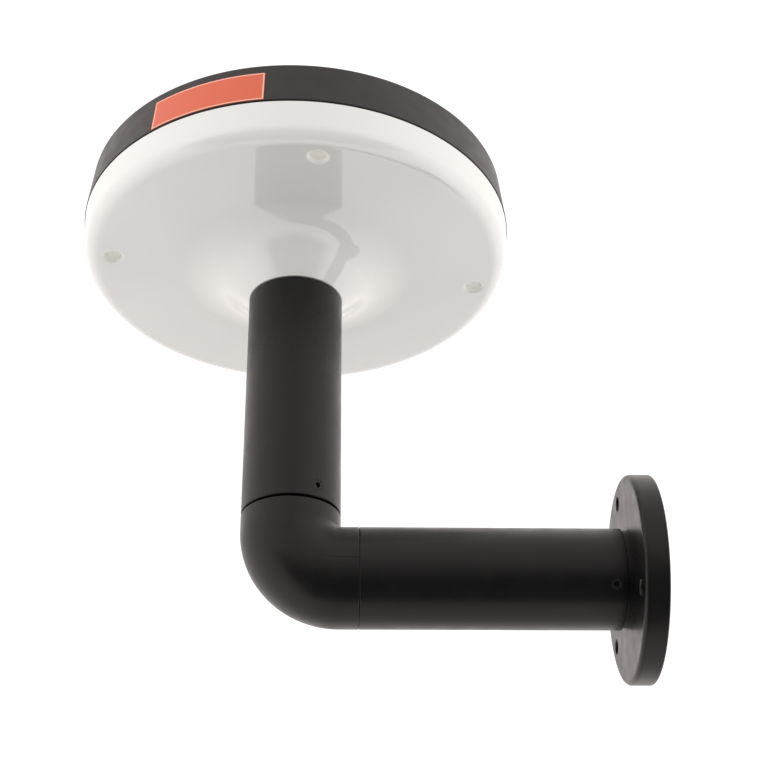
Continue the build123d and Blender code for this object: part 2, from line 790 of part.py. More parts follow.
# Rubber grommet in the deck for the light board's leads
with BuildPart() as deck_grommet:
    with BuildSketch(head_level(deck_bottom, grommet_from_axis)):
        Circle(grommet_hole_diameter / 2 - fit_clearance)
    extrude(amount=deck_thickness)
    with BuildSketch(head_level(deck_top, grommet_from_axis)):
        Circle(grommet_hole_diameter / 2 + grommet_flange)
    extrude(amount=grommet_flange_thickness)
    with BuildSketch(head_level(deck_bottom, grommet_from_axis)):
        Circle(grommet_bore / 2)
    extrude(amount=deck_thickness + grommet_flange_thickness, mode=Mode.SUBTRACT)
finish(deck_grommet, "deck_grommet")


def leads(routes):
    """Round wires, one along each route of points measured from the post's axis."""
    with BuildPart() as wires:
        for route in routes:
            with BuildLine() as path:
                FilletPolyline(*[(post_x + x, y, z) for x, y, z in route], radius=lead_bend)
            with BuildSketch(Plane(origin=path.line @ 0, z_dir=path.line % 0)):
                Circle(lead_diameter / 2)
            sweep(path=path.line)
    return wires


def side_by_side(route):
    """The two routes of a pair of wires that run beside a middle line."""
    return [[(x, y + side * lead_pitch / 2, z) for x, y, z in route] for side in (-1, 1)]


plug_level = board_top + plug_height / 2

# Leads from the panel's back down to its socket
panel_leads = leads(
    side_by_side(
        [
            (plug_face, plug_places[0], plug_level),
            (grommet_from_axis, plug_places[0], plug_level),
            (grommet_from_axis, plug_places[0], backsheet_bottom),
        ]
    )
)
finish(panel_leads, "panel_leads")

# Leads from the middle socket down through the grommet to the light board's underside
led_pad_level = led_board_bottom - lead_diameter / 2 - fit_clearance
led_leads = leads(
    side_by_side(
        [
            (plug_face, plug_places[1], plug_level),
            (grommet_from_axis, plug_places[1], plug_level),
            (grommet_from_axis, plug_places[1], led_pad_level),
            (led_board_inner_radius + led_pad_reach, plug_places[1], led_pad_level),
        ]
    )
)
finish(led_leads, "led_leads")

# Leads from the last socket to the contact strip at each end of the batteries
strip_edge = -battery_from_axis + tray_inner_width / 2 - tray_clearance
strip_middle = (battery_length + battery_cap_height + contact_thickness) / 2 + fit_clearance
strip_lead_level = deck_top + tray_height + lead_diameter
battery_leads = leads(
    [
        [
            (plug_face, plug_places[2] + side * lead_pitch / 2, plug_level),
            (plug_face - run, plug_places[2] + side * lead_pitch / 2, plug_level),
            (plug_face - run, side * strip_middle, strip_lead_level),
            (strip_edge, side * strip_middle, strip_lead_level),
        ]
        for side, run in ((1, battery_lead_short_run), (-1, battery_lead_long_run))
    ]
)
finish(battery_leads, "battery_leads")

# Label: a blank printed patch on the band
band_slope = -band_draft / band_height


def band_radius(height):
    """Radius of the band's sloping side at a height above its foot."""
    return band_foot_radius + band_slope * height


label_low = label_above_band_foot
label_high = label_above_band_foot + label_height
label_direction = (cos(radians(label_start_angle)), sin(radians(label_start_angle)), 0)
label_section = Plane(
    origin=(post_x, 0, band_bottom),
    x_dir=label_direction,
    z_dir=(label_direction[1], -label_direction[0], 0),
)
with BuildPart() as label:
    with BuildSketch(label_section):
        with BuildLine():
            Polyline(
                (band_radius(label_low) + label_stand_off, label_low),
                (band_radius(label_low) + label_stand_off + label_thickness, label_low),
                (band_radius(label_high) + label_stand_off + label_thickness, label_high),
                (band_radius(label_high) + label_stand_off, label_high),
                close=True,
            )
        make_face()
    revolve(axis=post_axis, revolution_arc=label_sweep)
finish(label, "label")

# Seal ring between the ledge and the panel
with BuildPart() as panel_seal:
    with BuildSketch(head_level(ledge_top)):
        Circle(panel_radius)
        Circle(panel_radius - panel_seal_width, mode=Mode.SUBTRACT)
    extrude(amount=panel_seal_thickness)
finish(panel_seal, "panel_seal")

# Back sheet that carries the solar cells
with BuildPart() as panel_backsheet:
    with BuildSketch(head_level(backsheet_bottom)):
        Circle(panel_radius)
    extrude(amount=backsheet_thickness)
finish(panel_backsheet, "panel_backsheet")

# Solar cells in two columns
with BuildPart() as solar_cells:
    with BuildSketch(head_level(cells_bottom)):
        with GridLocations(cell_length + cell_gap, cell_width + cell_gap, cell_columns, cell_rows):
            Rectangle(cell_length, cell_width)
    extrude(amount=cell_thickness)
finish(solar_cells, "solar_cells")

# Tinned ribbons that join the cells of each column
ribbon_length = cell_rows * (cell_width + cell_gap) - cell_gap
ribbon_places = [
    (column - (cell_columns - 1) / 2) * (cell_length + cell_gap)
    + (ribbon - (ribbons_per_column - 1) / 2) * cell_length / ribbons_per_column
    for column in range(cell_columns)
    for ribbon in range(ribbons_per_column)
]
with BuildPart() as cell_ribbons:
    with BuildSketch(head_level(ribbons_bottom)):
        with Locations([(place, 0) for place in ribbon_places]):
            Rectangle(ribbon_width, ribbon_length)
    extrude(amount=ribbon_thickness)
finish(cell_ribbons, "cell_ribbons")

# Glass over the solar cells
with BuildPart() as panel_glass:
    with BuildSketch(head_level(panel_glass_bottom)):
        Circle(panel_radius)
    extrude(amount=panel_glass_thickness)
finish(panel_glass, "panel_glass")
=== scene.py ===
from math import hypot, pi, radians, tan

import bmesh
import bpy
import numpy as np
from mathutils import Matrix


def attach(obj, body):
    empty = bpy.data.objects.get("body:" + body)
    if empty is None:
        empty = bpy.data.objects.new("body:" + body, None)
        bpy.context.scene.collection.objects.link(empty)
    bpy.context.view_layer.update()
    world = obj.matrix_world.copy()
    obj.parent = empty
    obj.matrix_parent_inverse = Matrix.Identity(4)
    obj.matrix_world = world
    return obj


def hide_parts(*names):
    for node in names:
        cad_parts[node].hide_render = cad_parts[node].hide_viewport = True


# Solar wall light: a flange, an arm, an elbow and a post carry a round lamp head with an opal underside.
# Lengths are in millimetres until a mesh is made, in the frame of the solids: the wall is the plane X = 0,
# the arm runs along -X and Z is up.
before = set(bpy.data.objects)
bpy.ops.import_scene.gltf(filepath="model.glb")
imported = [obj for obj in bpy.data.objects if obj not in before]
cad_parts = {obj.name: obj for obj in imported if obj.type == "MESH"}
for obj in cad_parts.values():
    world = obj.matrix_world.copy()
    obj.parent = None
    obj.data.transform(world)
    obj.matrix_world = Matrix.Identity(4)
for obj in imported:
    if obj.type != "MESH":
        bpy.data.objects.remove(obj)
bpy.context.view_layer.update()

# Wall flange: a cast disc with three bolt holes, a low shoulder and the spigot that the arm slides over.
# It is cast iron, turned on its faces and powder coated satin black, and it bolts flat to the wall.
MILLIMETRE = 0.001
FLANGE_RADIUS = 49.5
FLANGE_THICKNESS = 11.5
FLANGE_EDGE = 2.2
FLANGE_CHAMFER = 0.8
HOLE_RING = 40.0
HOLE_RADIUS = 3.5
HOLE_CHAMFER = 0.5
HOLE_EASE = 0.1
HOLE_START = 0.15
HOLE_COUNT = 3
HOLE_ANGLE = 90.0
SHOULDER_RADIUS = 23.0
ARM_START = 13.9
SPIGOT_RADIUS = 21.45
SPIGOT_CORE = 17.45
SPIGOT_END = 39.9
SPIGOT_ROUNDINGS = [0.2, 0.2, 0.5, 0.1, 0.2]
SPIGOT_STEPS = 3
NICK_ANGLE = 288.0
NICK_DEPTH = 0.3
NICK_HALF_WIDTH = 0.35
COAT_DARK = (0.0035, 0.0033, 0.0033)
COAT_LIGHT = (0.0052, 0.005, 0.0049)
COAT_PEEL = 0.012

# Rows and columns of the flange's skin: closer together at the bolt holes and at the nick.
COLUMNS = 192
NICK_COLUMNS = np.array([0.5, 1, 2])
NICK_EDGE_ROWS = (4, 6)
HOLE_REACH = 6.5
HOLE_CELLS = 10
FRONT_INNER_ROWS = [SHOULDER_RADIUS, 23.6, 25, 28, 31]
FRONT_LAST_ROW = 46.9
BACK_FIRST_ROW = 48.2
BACK_INNER_ROWS = [31, 27, 23, 19, 18]
RIM_SPAN = (8.4, 1.6)
RIM_ROWS = 6


def new_finish(name, colour, **values):
    """A material with one shader: its even values are set on the shader's own sockets."""
    finish = bpy.data.materials.new(name)
    finish.use_nodes = True
    shader = finish.node_tree.nodes["Principled BSDF"]
    shader.inputs["Base Color"].default_value = (*colour, 1)
    for socket, value in values.items():
        shader.inputs[socket.replace("_", " ")].default_value = value
    return finish


def add_node(finish, kind, **values):
    """A node of a material with some of its inputs set."""
    node = finish.node_tree.nodes.new(kind)
    for socket, value in values.items():
        node.inputs[socket.replace("_", " ")].default_value = value
    return node


def noise(finish, size, detail=2.0):
    """Noise on Object coordinates with features of about a size in millimetres: its Fac socket."""
    place = add_node(finish, "ShaderNodeTexCoord")
    cloud = add_node(finish, "ShaderNodeTexNoise", Scale=1 / (size * MILLIMETRE), Detail=detail)
    finish.node_tree.links.new(place.outputs["Object"], cloud.inputs["Vector"])
    return cloud.outputs["Fac"]


def tone(finish, source, dark, light, low=0.3, high=0.7):
    """Lets a source run the colour from dark at its low value to light at its high one: the ramp node."""
    ramp = add_node(finish, "ShaderNodeValToRGB")
    ramp.color_ramp.elements[0].position = low
    ramp.color_ramp.elements[0].color = (*dark, 1)
    ramp.color_ramp.elements[1].position = high
    ramp.color_ramp.elements[1].color = (*light, 1)
    link = finish.node_tree.links.new
    link(source, ramp.inputs["Fac"])
    link(ramp.outputs["Color"], finish.node_tree.nodes["Principled BSDF"].inputs["Base Color"])
    return ramp


def grained(name, dark, light, size, detail=3.0, **values):
    """A material whose colour drifts from dark to light in patches of about a size in millimetres."""
    finish = new_finish(name, light, **values)
    tone(finish, noise(finish, size, detail), dark, light)
    return finish


def gloss(finish, source, low, high):
    """Lets a source of 0.3 to 0.7 run the roughness between two values."""
    span = add_node(finish, "ShaderNodeMapRange", From_Min=0.3, From_Max=0.7, To_Min=low, To_Max=high)
    link = finish.node_tree.links.new
    link(source, span.inputs["Value"])
    link(span.outputs["Result"], finish.node_tree.nodes["Principled BSDF"].inputs["Roughness"])


def relief(finish, source, depth):
    """Raises and sinks the surface with a source by a depth in millimetres, over any relief it has."""
    bump = add_node(finish, "ShaderNodeBump", Distance=depth * MILLIMETRE, Strength=1.0)
    shader = finish.node_tree.nodes["Principled BSDF"]
    link = finish.node_tree.links.new
    if shader.inputs["Normal"].is_linked:
        link(shader.inputs["Normal"].links[0].from_socket, bump.inputs["Normal"])
    link(source, bump.inputs["Height"])
    link(bump.outputs["Normal"], shader.inputs["Normal"])


# Satin black powder coat: near black, with a soft orange peel and a little change of gloss.
bracket_coat = grained("bracket_coat", COAT_DARK, COAT_LIGHT, size=34.0, IOR=1.42)
gloss(bracket_coat, noise(bracket_coat, size=11.0, detail=3.0), low=0.27, high=0.38)
relief(bracket_coat, noise(bracket_coat, size=1.1), depth=COAT_PEEL)
relief(bracket_coat, noise(bracket_coat, size=0.35, detail=1.0), depth=COAT_PEEL / 3)

ALONG, ACROSS, UP = np.eye(3)
HOLD = 0.35
ROUND_STEPS = 7
WELL_SHARES = (0.3, 0.55, 0.78, 0.92)
WELD_GAP = 2e-6
SHARP_ANGLE = radians(32)


def eased(corners, radii, steps=ROUND_STEPS):
    """Profile along straights with eased corners: each is an arc of its radius, tangent to both sides.

    A short stretch is kept beside each arc, so that the flats stay flat in the shading. The steps are one
    count for all the arcs, or a count for each.
    """
    corners = np.array(corners, float)
    counts = np.broadcast_to(steps, len(radii))
    run = []
    for place, (radius, count) in enumerate(zip(radii, counts)):
        before, corner, after = corners[place : place + 3]
        way_in = (corner - before) / np.linalg.norm(corner - before)
        way_out = (after - corner) / np.linalg.norm(after - corner)
        turn = np.arccos(np.clip(way_in @ way_out, -1, 1))
        reach = radius * tan(turn / 2)
        middle = (way_out - way_in) / np.linalg.norm(way_out - way_in)
        centre = corner + middle * hypot(reach, radius)
        start = corner - reach * way_in - centre
        side = np.array([-start[1], start[0]])
        side *= np.sign(side @ way_in)
        sweep = np.linspace(0, turn, count)[:, None]
        arc = centre + np.cos(sweep) * start + np.sin(sweep) * side
        run += [arc[:1] - HOLD * way_in, arc, arc[-1:] + HOLD * way_out]
    return np.concatenate([corners[:1]] + run + [corners[-1:]])


def round_arm(profile, angles):
    """Points of a profile (distance from the wall, radius) turned about the arm's axis."""
    distance, radius = np.array(profile, float).T
    y = radius[:, None] * np.cos(angles)
    z = radius[:, None] * np.sin(angles)
    return np.stack([np.broadcast_to(-distance[:, None], y.shape), y, z], axis=-1)


def outward_at(degrees, first, second):
    """Direction at an angle from a first axis towards a second: cosine of the one plus sine of the other."""
    return np.cos(radians(degrees)) * first + np.sin(radians(degrees)) * second


def quads(points, keep=None, closed_rows=False, closed_columns=True):
    """Corners and faces of a grid: a face joins four neighbours, and a closed grid joins its ends."""
    rows, columns = points.shape[:2]
    last_row = rows if closed_rows else rows - 1
    last_column = columns if closed_columns else columns - 1
    row, column = np.meshgrid(np.arange(last_row), np.arange(last_column), indexing="ij")
    next_row = (row + 1) % rows
    next_column = (column + 1) % columns
    faces = np.stack(
        [
            row * columns + column,
            next_row * columns + column,
            next_row * columns + next_column,
            row * columns + next_column,
        ],
        axis=-1,
    )
    faces = faces.reshape(-1, 4) if keep is None else faces[keep]
    return points.reshape(-1, 3), faces


def round_well(block, centre, side, out, rings, bend=np.inf):
    """A round well in a skin: the block of the grid that it takes, its place and axis, and its rings.

    The rings are (radius, depth) pairs. The bend is the radius of the skin about the well's side direction.
    """
    other = np.cross(out, side)
    return dict(block=block, centre=centre, side=side, other=other, out=out, rings=rings, bend=bend)


def well_place(well, side_part, other_part, depth):
    """Points by their parts along a well's two directions, lowered by the skin's bend and by the depth."""
    drop = other_part**2 / (well["bend"] + np.sqrt(well["bend"] ** 2 - other_part**2))
    beside = side_part[:, None] * well["side"] + other_part[:, None] * well["other"]
    return well["centre"] + beside - (drop + depth)[:, None] * well["out"]


def pierced(points, wells):
    """Closed grid skin with round wells: each well takes the place of a block of the grid.

    Its rings go from the block's edge to a circle in straight lines seen along the well's axis, and then
    follow the well's own radii and depths.
    """
    rows, columns = points.shape[:2]
    keep = np.ones((rows, columns), bool)
    parts = []
    for well in wells:
        low_row, high_row, low_column, high_column = well["block"]
        along = np.arange(low_row, high_row)
        across = np.arange(low_column, high_column)
        keep[low_row:high_row, across % columns] = False
        low_side = np.full(across.size, low_row)
        high_side = np.full(across.size, high_row)
        left_side = np.full(along.size, low_column)
        right_side = np.full(along.size, high_column)
        edge_rows = np.r_[along, high_side, along[::-1] + 1, low_side]
        edge_columns = np.r_[left_side, across, right_side, across[::-1] + 1]
        edge = points[edge_rows, edge_columns % columns]
        side_part = (edge - well["centre"]) @ well["side"]
        other_part = (edge - well["centre"]) @ well["other"]
        angle = np.arctan2(other_part, side_part)
        first = well["rings"][0][0]
        rings = [edge]
        for share in WELL_SHARES:
            ring_side = side_part + share * (first * np.cos(angle) - side_part)
            ring_other = other_part + share * (first * np.sin(angle) - other_part)
            rings.append(well_place(well, ring_side, ring_other, 0.0))
        for radius, depth in well["rings"]:
            rings.append(well_place(well, radius * np.cos(angle), radius * np.sin(angle), depth))
        parts.append(quads(np.array(rings)))
    return [quads(points, keep, closed_rows=True)] + parts


def make_piece(name, parts, finish, body, slot, *nodes):
    """One mesh from several skins: welded, turned outwards, shaded smooth and hung on its body."""
    counts = np.cumsum([0] + [len(corners) for corners, _ in parts])
    corners = np.concatenate([corners for corners, _ in parts]) * MILLIMETRE
    faces = np.concatenate([faces + count for (_, faces), count in zip(parts, counts)])
    mesh = bpy.data.meshes.new(name)
    mesh.from_pydata(corners.tolist(), [], faces.tolist())
    shape = bmesh.new()
    shape.from_mesh(mesh)
    bmesh.ops.remove_doubles(shape, verts=shape.verts, dist=WELD_GAP)
    bmesh.ops.recalc_face_normals(shape, faces=shape.faces)
    shape.to_mesh(mesh)
    shape.free()
    mesh.shade_smooth()
    mesh.set_sharp_from_angle(angle=SHARP_ANGLE)
    mesh.materials.append(finish)
    piece = bpy.data.objects.new(name, mesh)
    bpy.context.scene.collection.objects.link(piece)
    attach(piece, body)
    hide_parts(*nodes)
    return piece


column_turn = 360.0 / COLUMNS
nick_spread = np.degrees(NICK_HALF_WIDTH / FLANGE_RADIUS) * np.r_[-NICK_COLUMNS, NICK_COLUMNS]
even_angles = (HOLE_ANGLE + column_turn * np.arange(COLUMNS)) % 360
flange_angles = np.sort(np.r_[even_angles, NICK_ANGLE + nick_spread])
hole_rows = np.linspace(HOLE_RING - HOLE_REACH, HOLE_RING + HOLE_REACH, HOLE_CELLS + 1)
front_rows = np.r_[FRONT_INNER_ROWS, hole_rows, FRONT_LAST_ROW]
back_rows = np.r_[BACK_FIRST_ROW, hole_rows[::-1], BACK_INNER_ROWS]
front = np.c_[np.full(front_rows.size, FLANGE_THICKNESS), front_rows]
back = np.c_[np.zeros(back_rows.size), back_rows]
rim_ends = eased(
    [
        (FLANGE_THICKNESS, FRONT_LAST_ROW),
        (FLANGE_THICKNESS, FLANGE_RADIUS),
        (0, FLANGE_RADIUS),
        (0, BACK_FIRST_ROW),
    ],
    [FLANGE_EDGE, FLANGE_CHAMFER],
)
front_edge, back_edge = np.split(rim_ends[1:-1], 2)
rim_middle = np.c_[np.linspace(*RIM_SPAN, RIM_ROWS), np.full(RIM_ROWS, FLANGE_RADIUS)]
rim = np.concatenate([front_edge, rim_middle, back_edge])
inside = eased(
    [
        (0, BACK_INNER_ROWS[-1]),
        (0, SPIGOT_CORE),
        (SPIGOT_END, SPIGOT_CORE),
        (SPIGOT_END, SPIGOT_RADIUS),
        (ARM_START, SPIGOT_RADIUS),
        (ARM_START, SHOULDER_RADIUS),
        (FLANGE_THICKNESS, SHOULDER_RADIUS),
    ],
    SPIGOT_ROUNDINGS,
    SPIGOT_STEPS,
)
flange_profile = np.concatenate([front, rim, back, inside[1:-1]])
flange_points = round_arm(flange_profile, np.radians(flange_angles))

# The nick in the rim: its depth fades as exp(-(offset / half width) squared) round the rim.
nick_rows = slice(len(front) + NICK_EDGE_ROWS[0], len(front) + len(rim) - NICK_EDGE_ROWS[1])
nick_offset = np.radians(flange_angles - NICK_ANGLE) * FLANGE_RADIUS
nick_dip = NICK_DEPTH * np.exp(-((nick_offset / NICK_HALF_WIDTH) ** 2))
flange_points[nick_rows, :, 1:] *= (1 - nick_dip / FLANGE_RADIUS)[None, :, None]


def bolt_holes(face_distance, first_row, out):
    """The bolt holes of one face: wells to half the flange's thickness, where the two faces' wells meet."""
    rings = [
        (HOLE_RADIUS + HOLE_CHAMFER, 0),
        (HOLE_RADIUS + HOLE_EASE, HOLE_CHAMFER - HOLE_EASE),
        (HOLE_RADIUS, HOLE_CHAMFER + HOLE_START),
        (HOLE_RADIUS, FLANGE_THICKNESS / 2),
    ]
    wells = []
    for step in range(HOLE_COUNT):
        turn = HOLE_ANGLE + 360 * step / HOLE_COUNT
        outward = outward_at(turn, ACROSS, UP)
        column = int(np.argmin(np.abs((flange_angles - turn + 180) % 360 - 180)))
        block = (first_row, first_row + HOLE_CELLS, column - HOLE_CELLS // 2, column + HOLE_CELLS // 2)
        wells.append(round_well(block, HOLE_RING * outward - face_distance * ALONG, outward, out, rings))
    return wells


front_holes = bolt_holes(FLANGE_THICKNESS, len(FRONT_INNER_ROWS), -ALONG)
back_holes = bolt_holes(0, len(front) + len(rim) + 1, ALONG)
flange_parts = pierced(flange_points, front_holes + back_holes)
make_piece("flange", flange_parts, bracket_coat, "wall_bracket", "bracket_paint", "wall_flange")

# Arm: a length of steel tube, powder coated with the flange, tapped near the wall for three grub screws.
# It slides over the flange's spigot and butts against the elbow in a hairline.
TUBE_RADIUS = 24.0
BORE_RADIUS = 21.5
TUBE_CHAMFER = 0.5
BORE_EDGE = 0.2
ARM_END = 137.4
ARM_GRUB_PLACE = 19.7
ARM_GRUB_ANGLE = 90.0
GRUB_RADIUS = 2.5
GRUB_COUNT = 3
TAP_EDGE = 0.12
TAP_EASE = 0.02
TAP_DEPTH = 2.3
TAP_FLOOR = (0.4, 0.1)

# Rows of a tube's skin: how far the last ones keep from its ends, and how many there are from the tapped
# holes to the near end, round the holes and on to the far end.
END_FACE = 0.8
END_ROOM = 1.2
EDGE_STEPS = 5
SHORT_ROWS = 4
GRUB_CELLS = 6
TUBE_ROWS = 22


def tube_profile(low, high, grub_place):
    """Closed profile of a tube (place along it, radius), and the first of its close rows at the holes."""
    hole_step = 2 * pi * TUBE_RADIUS / COLUMNS
    near_hole = grub_place + hole_step * np.arange(-GRUB_CELLS, GRUB_CELLS + 1)
    first = np.linspace(low + END_ROOM, near_hole[0], SHORT_ROWS)[:-1]
    plain = np.linspace(near_hole[-1], high - END_ROOM, TUBE_ROWS)[1:]
    outside = np.r_[first, near_hole, plain]
    ends = eased(
        [
            (high - END_FACE, TUBE_RADIUS),
            (high, TUBE_RADIUS),
            (high, BORE_RADIUS),
            (low, BORE_RADIUS),
            (low, TUBE_RADIUS),
            (low + END_FACE, TUBE_RADIUS),
        ],
        [TUBE_CHAMFER, BORE_EDGE, BORE_EDGE, TUBE_CHAMFER],
        EDGE_STEPS,
    )
    return np.concatenate([np.c_[outside, np.full(outside.size, TUBE_RADIUS)], ends]), first.size


def tapped_holes(middle, along, first, second, first_angle, hole_row):
    """Wells evenly spaced round a tube, about a middle point on its axis, from an angle between two axes."""
    rings = [
        (GRUB_RADIUS + TAP_EDGE, 0.0),
        (GRUB_RADIUS + TAP_EDGE - TAP_EASE, TAP_EASE / 2),
        (GRUB_RADIUS + TAP_EASE, TAP_EDGE - TAP_EASE),
        (GRUB_RADIUS, TAP_EDGE + TAP_EASE),
        (GRUB_RADIUS, TAP_DEPTH - TAP_FLOOR[1]),
        (GRUB_RADIUS - TAP_FLOOR[0], TAP_DEPTH),
        (0.0, TAP_DEPTH),
    ]
    wells = []
    for step in range(GRUB_COUNT):
        outward = outward_at(first_angle + 360 * step / GRUB_COUNT, first, second)
        column = step * COLUMNS // GRUB_COUNT
        block = (hole_row, hole_row + 2 * GRUB_CELLS, column - GRUB_CELLS, column + GRUB_CELLS)
        wells.append(round_well(block, middle + TUBE_RADIUS * outward, along, outward, rings, TUBE_RADIUS))
    return wells


arm_angles = np.radians(ARM_GRUB_ANGLE + column_turn * np.arange(COLUMNS))
arm_profile, arm_hole_row = tube_profile(ARM_START, ARM_END, ARM_GRUB_PLACE)
arm_points = round_arm(arm_profile, arm_angles)
arm_holes = tapped_holes(-ARM_GRUB_PLACE * ALONG, ALONG, ACROSS, UP, ARM_GRUB_ANGLE, arm_hole_row)
make_piece("arm", pierced(arm_points, arm_holes), bracket_coat, "arm", "bracket_paint", "arm_tube")

# Grub screws: short socket screws of blackened steel, sunk just below the tube and clamping in the spigot's
# groove. Three hold the arm on the flange and three hold the post on the elbow.
GRUB_SINK = 0.1
GRUB_LENGTH = 4.6
GRUB_SIDE = 2.45
GRUB_EDGE = 0.25
GRUB_EDGE_MIDDLE = 0.07
GRUB_POINT = 0.7
SOCKET_FLATS = 2.5
SOCKET_DEPTH = 2.4
SOCKET_FLOOR = (0.6, 0.05)
SOCKET_EDGE = (0.2, 0.15)
SOCKET_EDGE_MIDDLE = (0.08, 0.03)
SOCKET_TURN = (0.3, 0.4, 0.5)
GRUB_COLUMNS = 48

grub_black = grained("grub_black", (0.014, 0.014, 0.015), (0.034, 0.033, 0.033), size=1.4, Metallic=0.5)
gloss(grub_black, noise(grub_black, size=0.7), low=0.28, high=0.46)
relief(grub_black, noise(grub_black, size=0.25), depth=0.01)


def grub_screw(centre, outward):
    """Rings of a socket screw about its axis: round outside, six-sided in the socket.

    A ring of the socket has the radius flats / 2 / cos(angle from the middle of its side).
    """
    angle = 2 * pi * np.arange(GRUB_COLUMNS) / GRUB_COLUMNS
    six = SOCKET_FLATS / 2 / np.cos((angle + pi / 6) % (pi / 3) - pi / 6)
    even = np.ones(GRUB_COLUMNS)
    foot = SOCKET_DEPTH - GRUB_LENGTH
    rings = [
        (0.0 * even, 0.0),
        (SOCKET_FLOOR[0] * six, 0.0),
        (six, SOCKET_FLOOR[1]),
        (six, SOCKET_DEPTH - SOCKET_EDGE[1]),
        (six + SOCKET_EDGE_MIDDLE[0], SOCKET_DEPTH - SOCKET_EDGE_MIDDLE[1]),
        (six + SOCKET_EDGE[0], SOCKET_DEPTH),
        ((GRUB_SIDE - GRUB_EDGE) * even, SOCKET_DEPTH),
        ((GRUB_SIDE - GRUB_EDGE_MIDDLE) * even, SOCKET_DEPTH - GRUB_EDGE_MIDDLE),
        (GRUB_SIDE * even, SOCKET_DEPTH - GRUB_EDGE),
        (GRUB_SIDE * even, foot + GRUB_POINT),
        ((GRUB_SIDE - GRUB_POINT) * even, foot),
        (0.0 * even, foot),
    ]
    side = np.cross(outward, SOCKET_TURN)
    side /= np.linalg.norm(side)
    other = np.cross(outward, side)
    radius = np.array([ring for ring, _ in rings])[..., None]
    height = np.array([level for _, level in rings])[:, None, None] - SOCKET_DEPTH - GRUB_SINK
    across = np.cos(angle)[:, None] * side + np.sin(angle)[:, None] * other
    return quads(centre + radius * across + height * outward)


arm_grubs = [grub_screw(well["centre"], well["out"]) for well in arm_holes]
make_piece("arm_grubs", arm_grubs, grub_black, "arm", "grub_steel", "arm_grub_screws")

# Elbow: a hollow right-angle casting with a spigot at each end, powder coated with the tubes.
# A fine mould line is left beside the arm, its legs meet in a crease inside the bend, and a gap shows
# under the post.
POST_X = -170.0
BEND_RADIUS = 23.4
ARM_LEG = 32.5
POST_LEG = 31.1
ELBOW_SPIGOT = 24.0
ELBOW_CORE = 17.45
ELBOW_MOUTH = 0.4
ELBOW_ROUNDINGS = [0.4, 0.1, ELBOW_MOUTH]
ELBOW_FIRST_ROWS = (1.2, 1.6)
ELBOW_ROWS = 64
ELBOW_INSIDE_ROWS = 40
SEAM_HEIGHT = 0.11
SEAM_HALF_WIDTH = 0.22
SEAM_KEPT = 14.0
SEAM_GONE = 20.0
SEAM_COLUMNS = np.array([0.3, 0.6, 1, 1.4, 2, 3])


def bend_path(length):
    """Place and inward direction at a length along the elbow's middle line, from the arm's mouth on.

    The line is a straight, a quarter circle and a straight; the inward direction lies in the bend's plane.
    """
    first = ARM_LEG - BEND_RADIUS
    turn = np.clip((length - first) / BEND_RADIUS, 0, pi / 2)
    before = np.minimum(length, first)
    after = np.maximum(length - first - BEND_RADIUS * pi / 2, 0)
    x = POST_X + ARM_LEG - before - BEND_RADIUS * np.sin(turn)
    z = BEND_RADIUS * (1 - np.cos(turn)) + after
    zero = np.zeros_like(x)
    return np.stack([x, zero, z], axis=-1), np.stack([np.sin(turn), zero, np.cos(turn)], axis=-1)


elbow_length = ARM_LEG - BEND_RADIUS + BEND_RADIUS * pi / 2 + POST_LEG - BEND_RADIUS
elbow_skin = eased(
    [
        (-ELBOW_SPIGOT, ELBOW_CORE),
        (-ELBOW_SPIGOT, SPIGOT_RADIUS),
        (0, SPIGOT_RADIUS),
        (0, TUBE_RADIUS),
        (ELBOW_FIRST_ROWS[0], TUBE_RADIUS),
    ],
    ELBOW_ROUNDINGS,
    EDGE_STEPS,
)
elbow_run = np.linspace(ELBOW_FIRST_ROWS[1], elbow_length - ELBOW_FIRST_ROWS[1], ELBOW_ROWS)
elbow_far = elbow_skin[::-1] * (-1, 1) + (elbow_length, 0)
elbow_inside = np.linspace(elbow_length + ELBOW_SPIGOT, -ELBOW_SPIGOT, ELBOW_INSIDE_ROWS)[1:-1]
elbow_profile = np.concatenate(
    [
        elbow_skin,
        np.c_[elbow_run, np.full(elbow_run.size, TUBE_RADIUS)],
        elbow_far,
        np.c_[elbow_inside, np.full(elbow_inside.size, ELBOW_CORE)],
    ]
)

# The mould line: its height fades as exp(-(offset / half width) squared) to both sides.
seam_spread = SEAM_HALF_WIDTH / TUBE_RADIUS * np.r_[-SEAM_COLUMNS, SEAM_COLUMNS]
elbow_angles = 2 * pi * np.arange(COLUMNS) / COLUMNS
elbow_angles = np.sort(np.r_[elbow_angles, seam_spread % (2 * pi), pi + seam_spread])
seam_offset = np.abs(np.sin(elbow_angles)) * TUBE_RADIUS
seam_rise = SEAM_HEIGHT * np.exp(-((seam_offset / SEAM_HALF_WIDTH) ** 2))
on_outside = (elbow_profile[:, 1] > TUBE_RADIUS - ELBOW_MOUTH / 2)[:, None]
seam_share = np.interp(elbow_profile[:, :1], [SEAM_KEPT, SEAM_GONE], [1.0, 0.0])
elbow_radius = elbow_profile[:, 1:] + on_outside * seam_share * seam_rise
bend_place, inward = bend_path(elbow_profile[:, 0])
round_bend = np.cos(elbow_angles)[:, None] * ACROSS + np.sin(elbow_angles)[:, None] * inward[:, None]
elbow_points = bend_place[:, None] + elbow_radius[..., None] * round_bend

# Past the centre of the bend the skin would cross itself, so there it keeps to the skins of the two legs.
overlap = elbow_radius * np.sin(elbow_angles) - BEND_RADIUS
crease = np.where(overlap > 0, BEND_RADIUS + overlap, -np.inf)
elbow_points[..., 0] = np.maximum(elbow_points[..., 0], POST_X + crease)
elbow_points[..., 2] = np.maximum(elbow_points[..., 2], crease)
elbow_parts = [quads(elbow_points, closed_rows=True)]
make_piece("elbow_casting", elbow_parts, bracket_coat, "arm", "bracket_paint", "elbow")

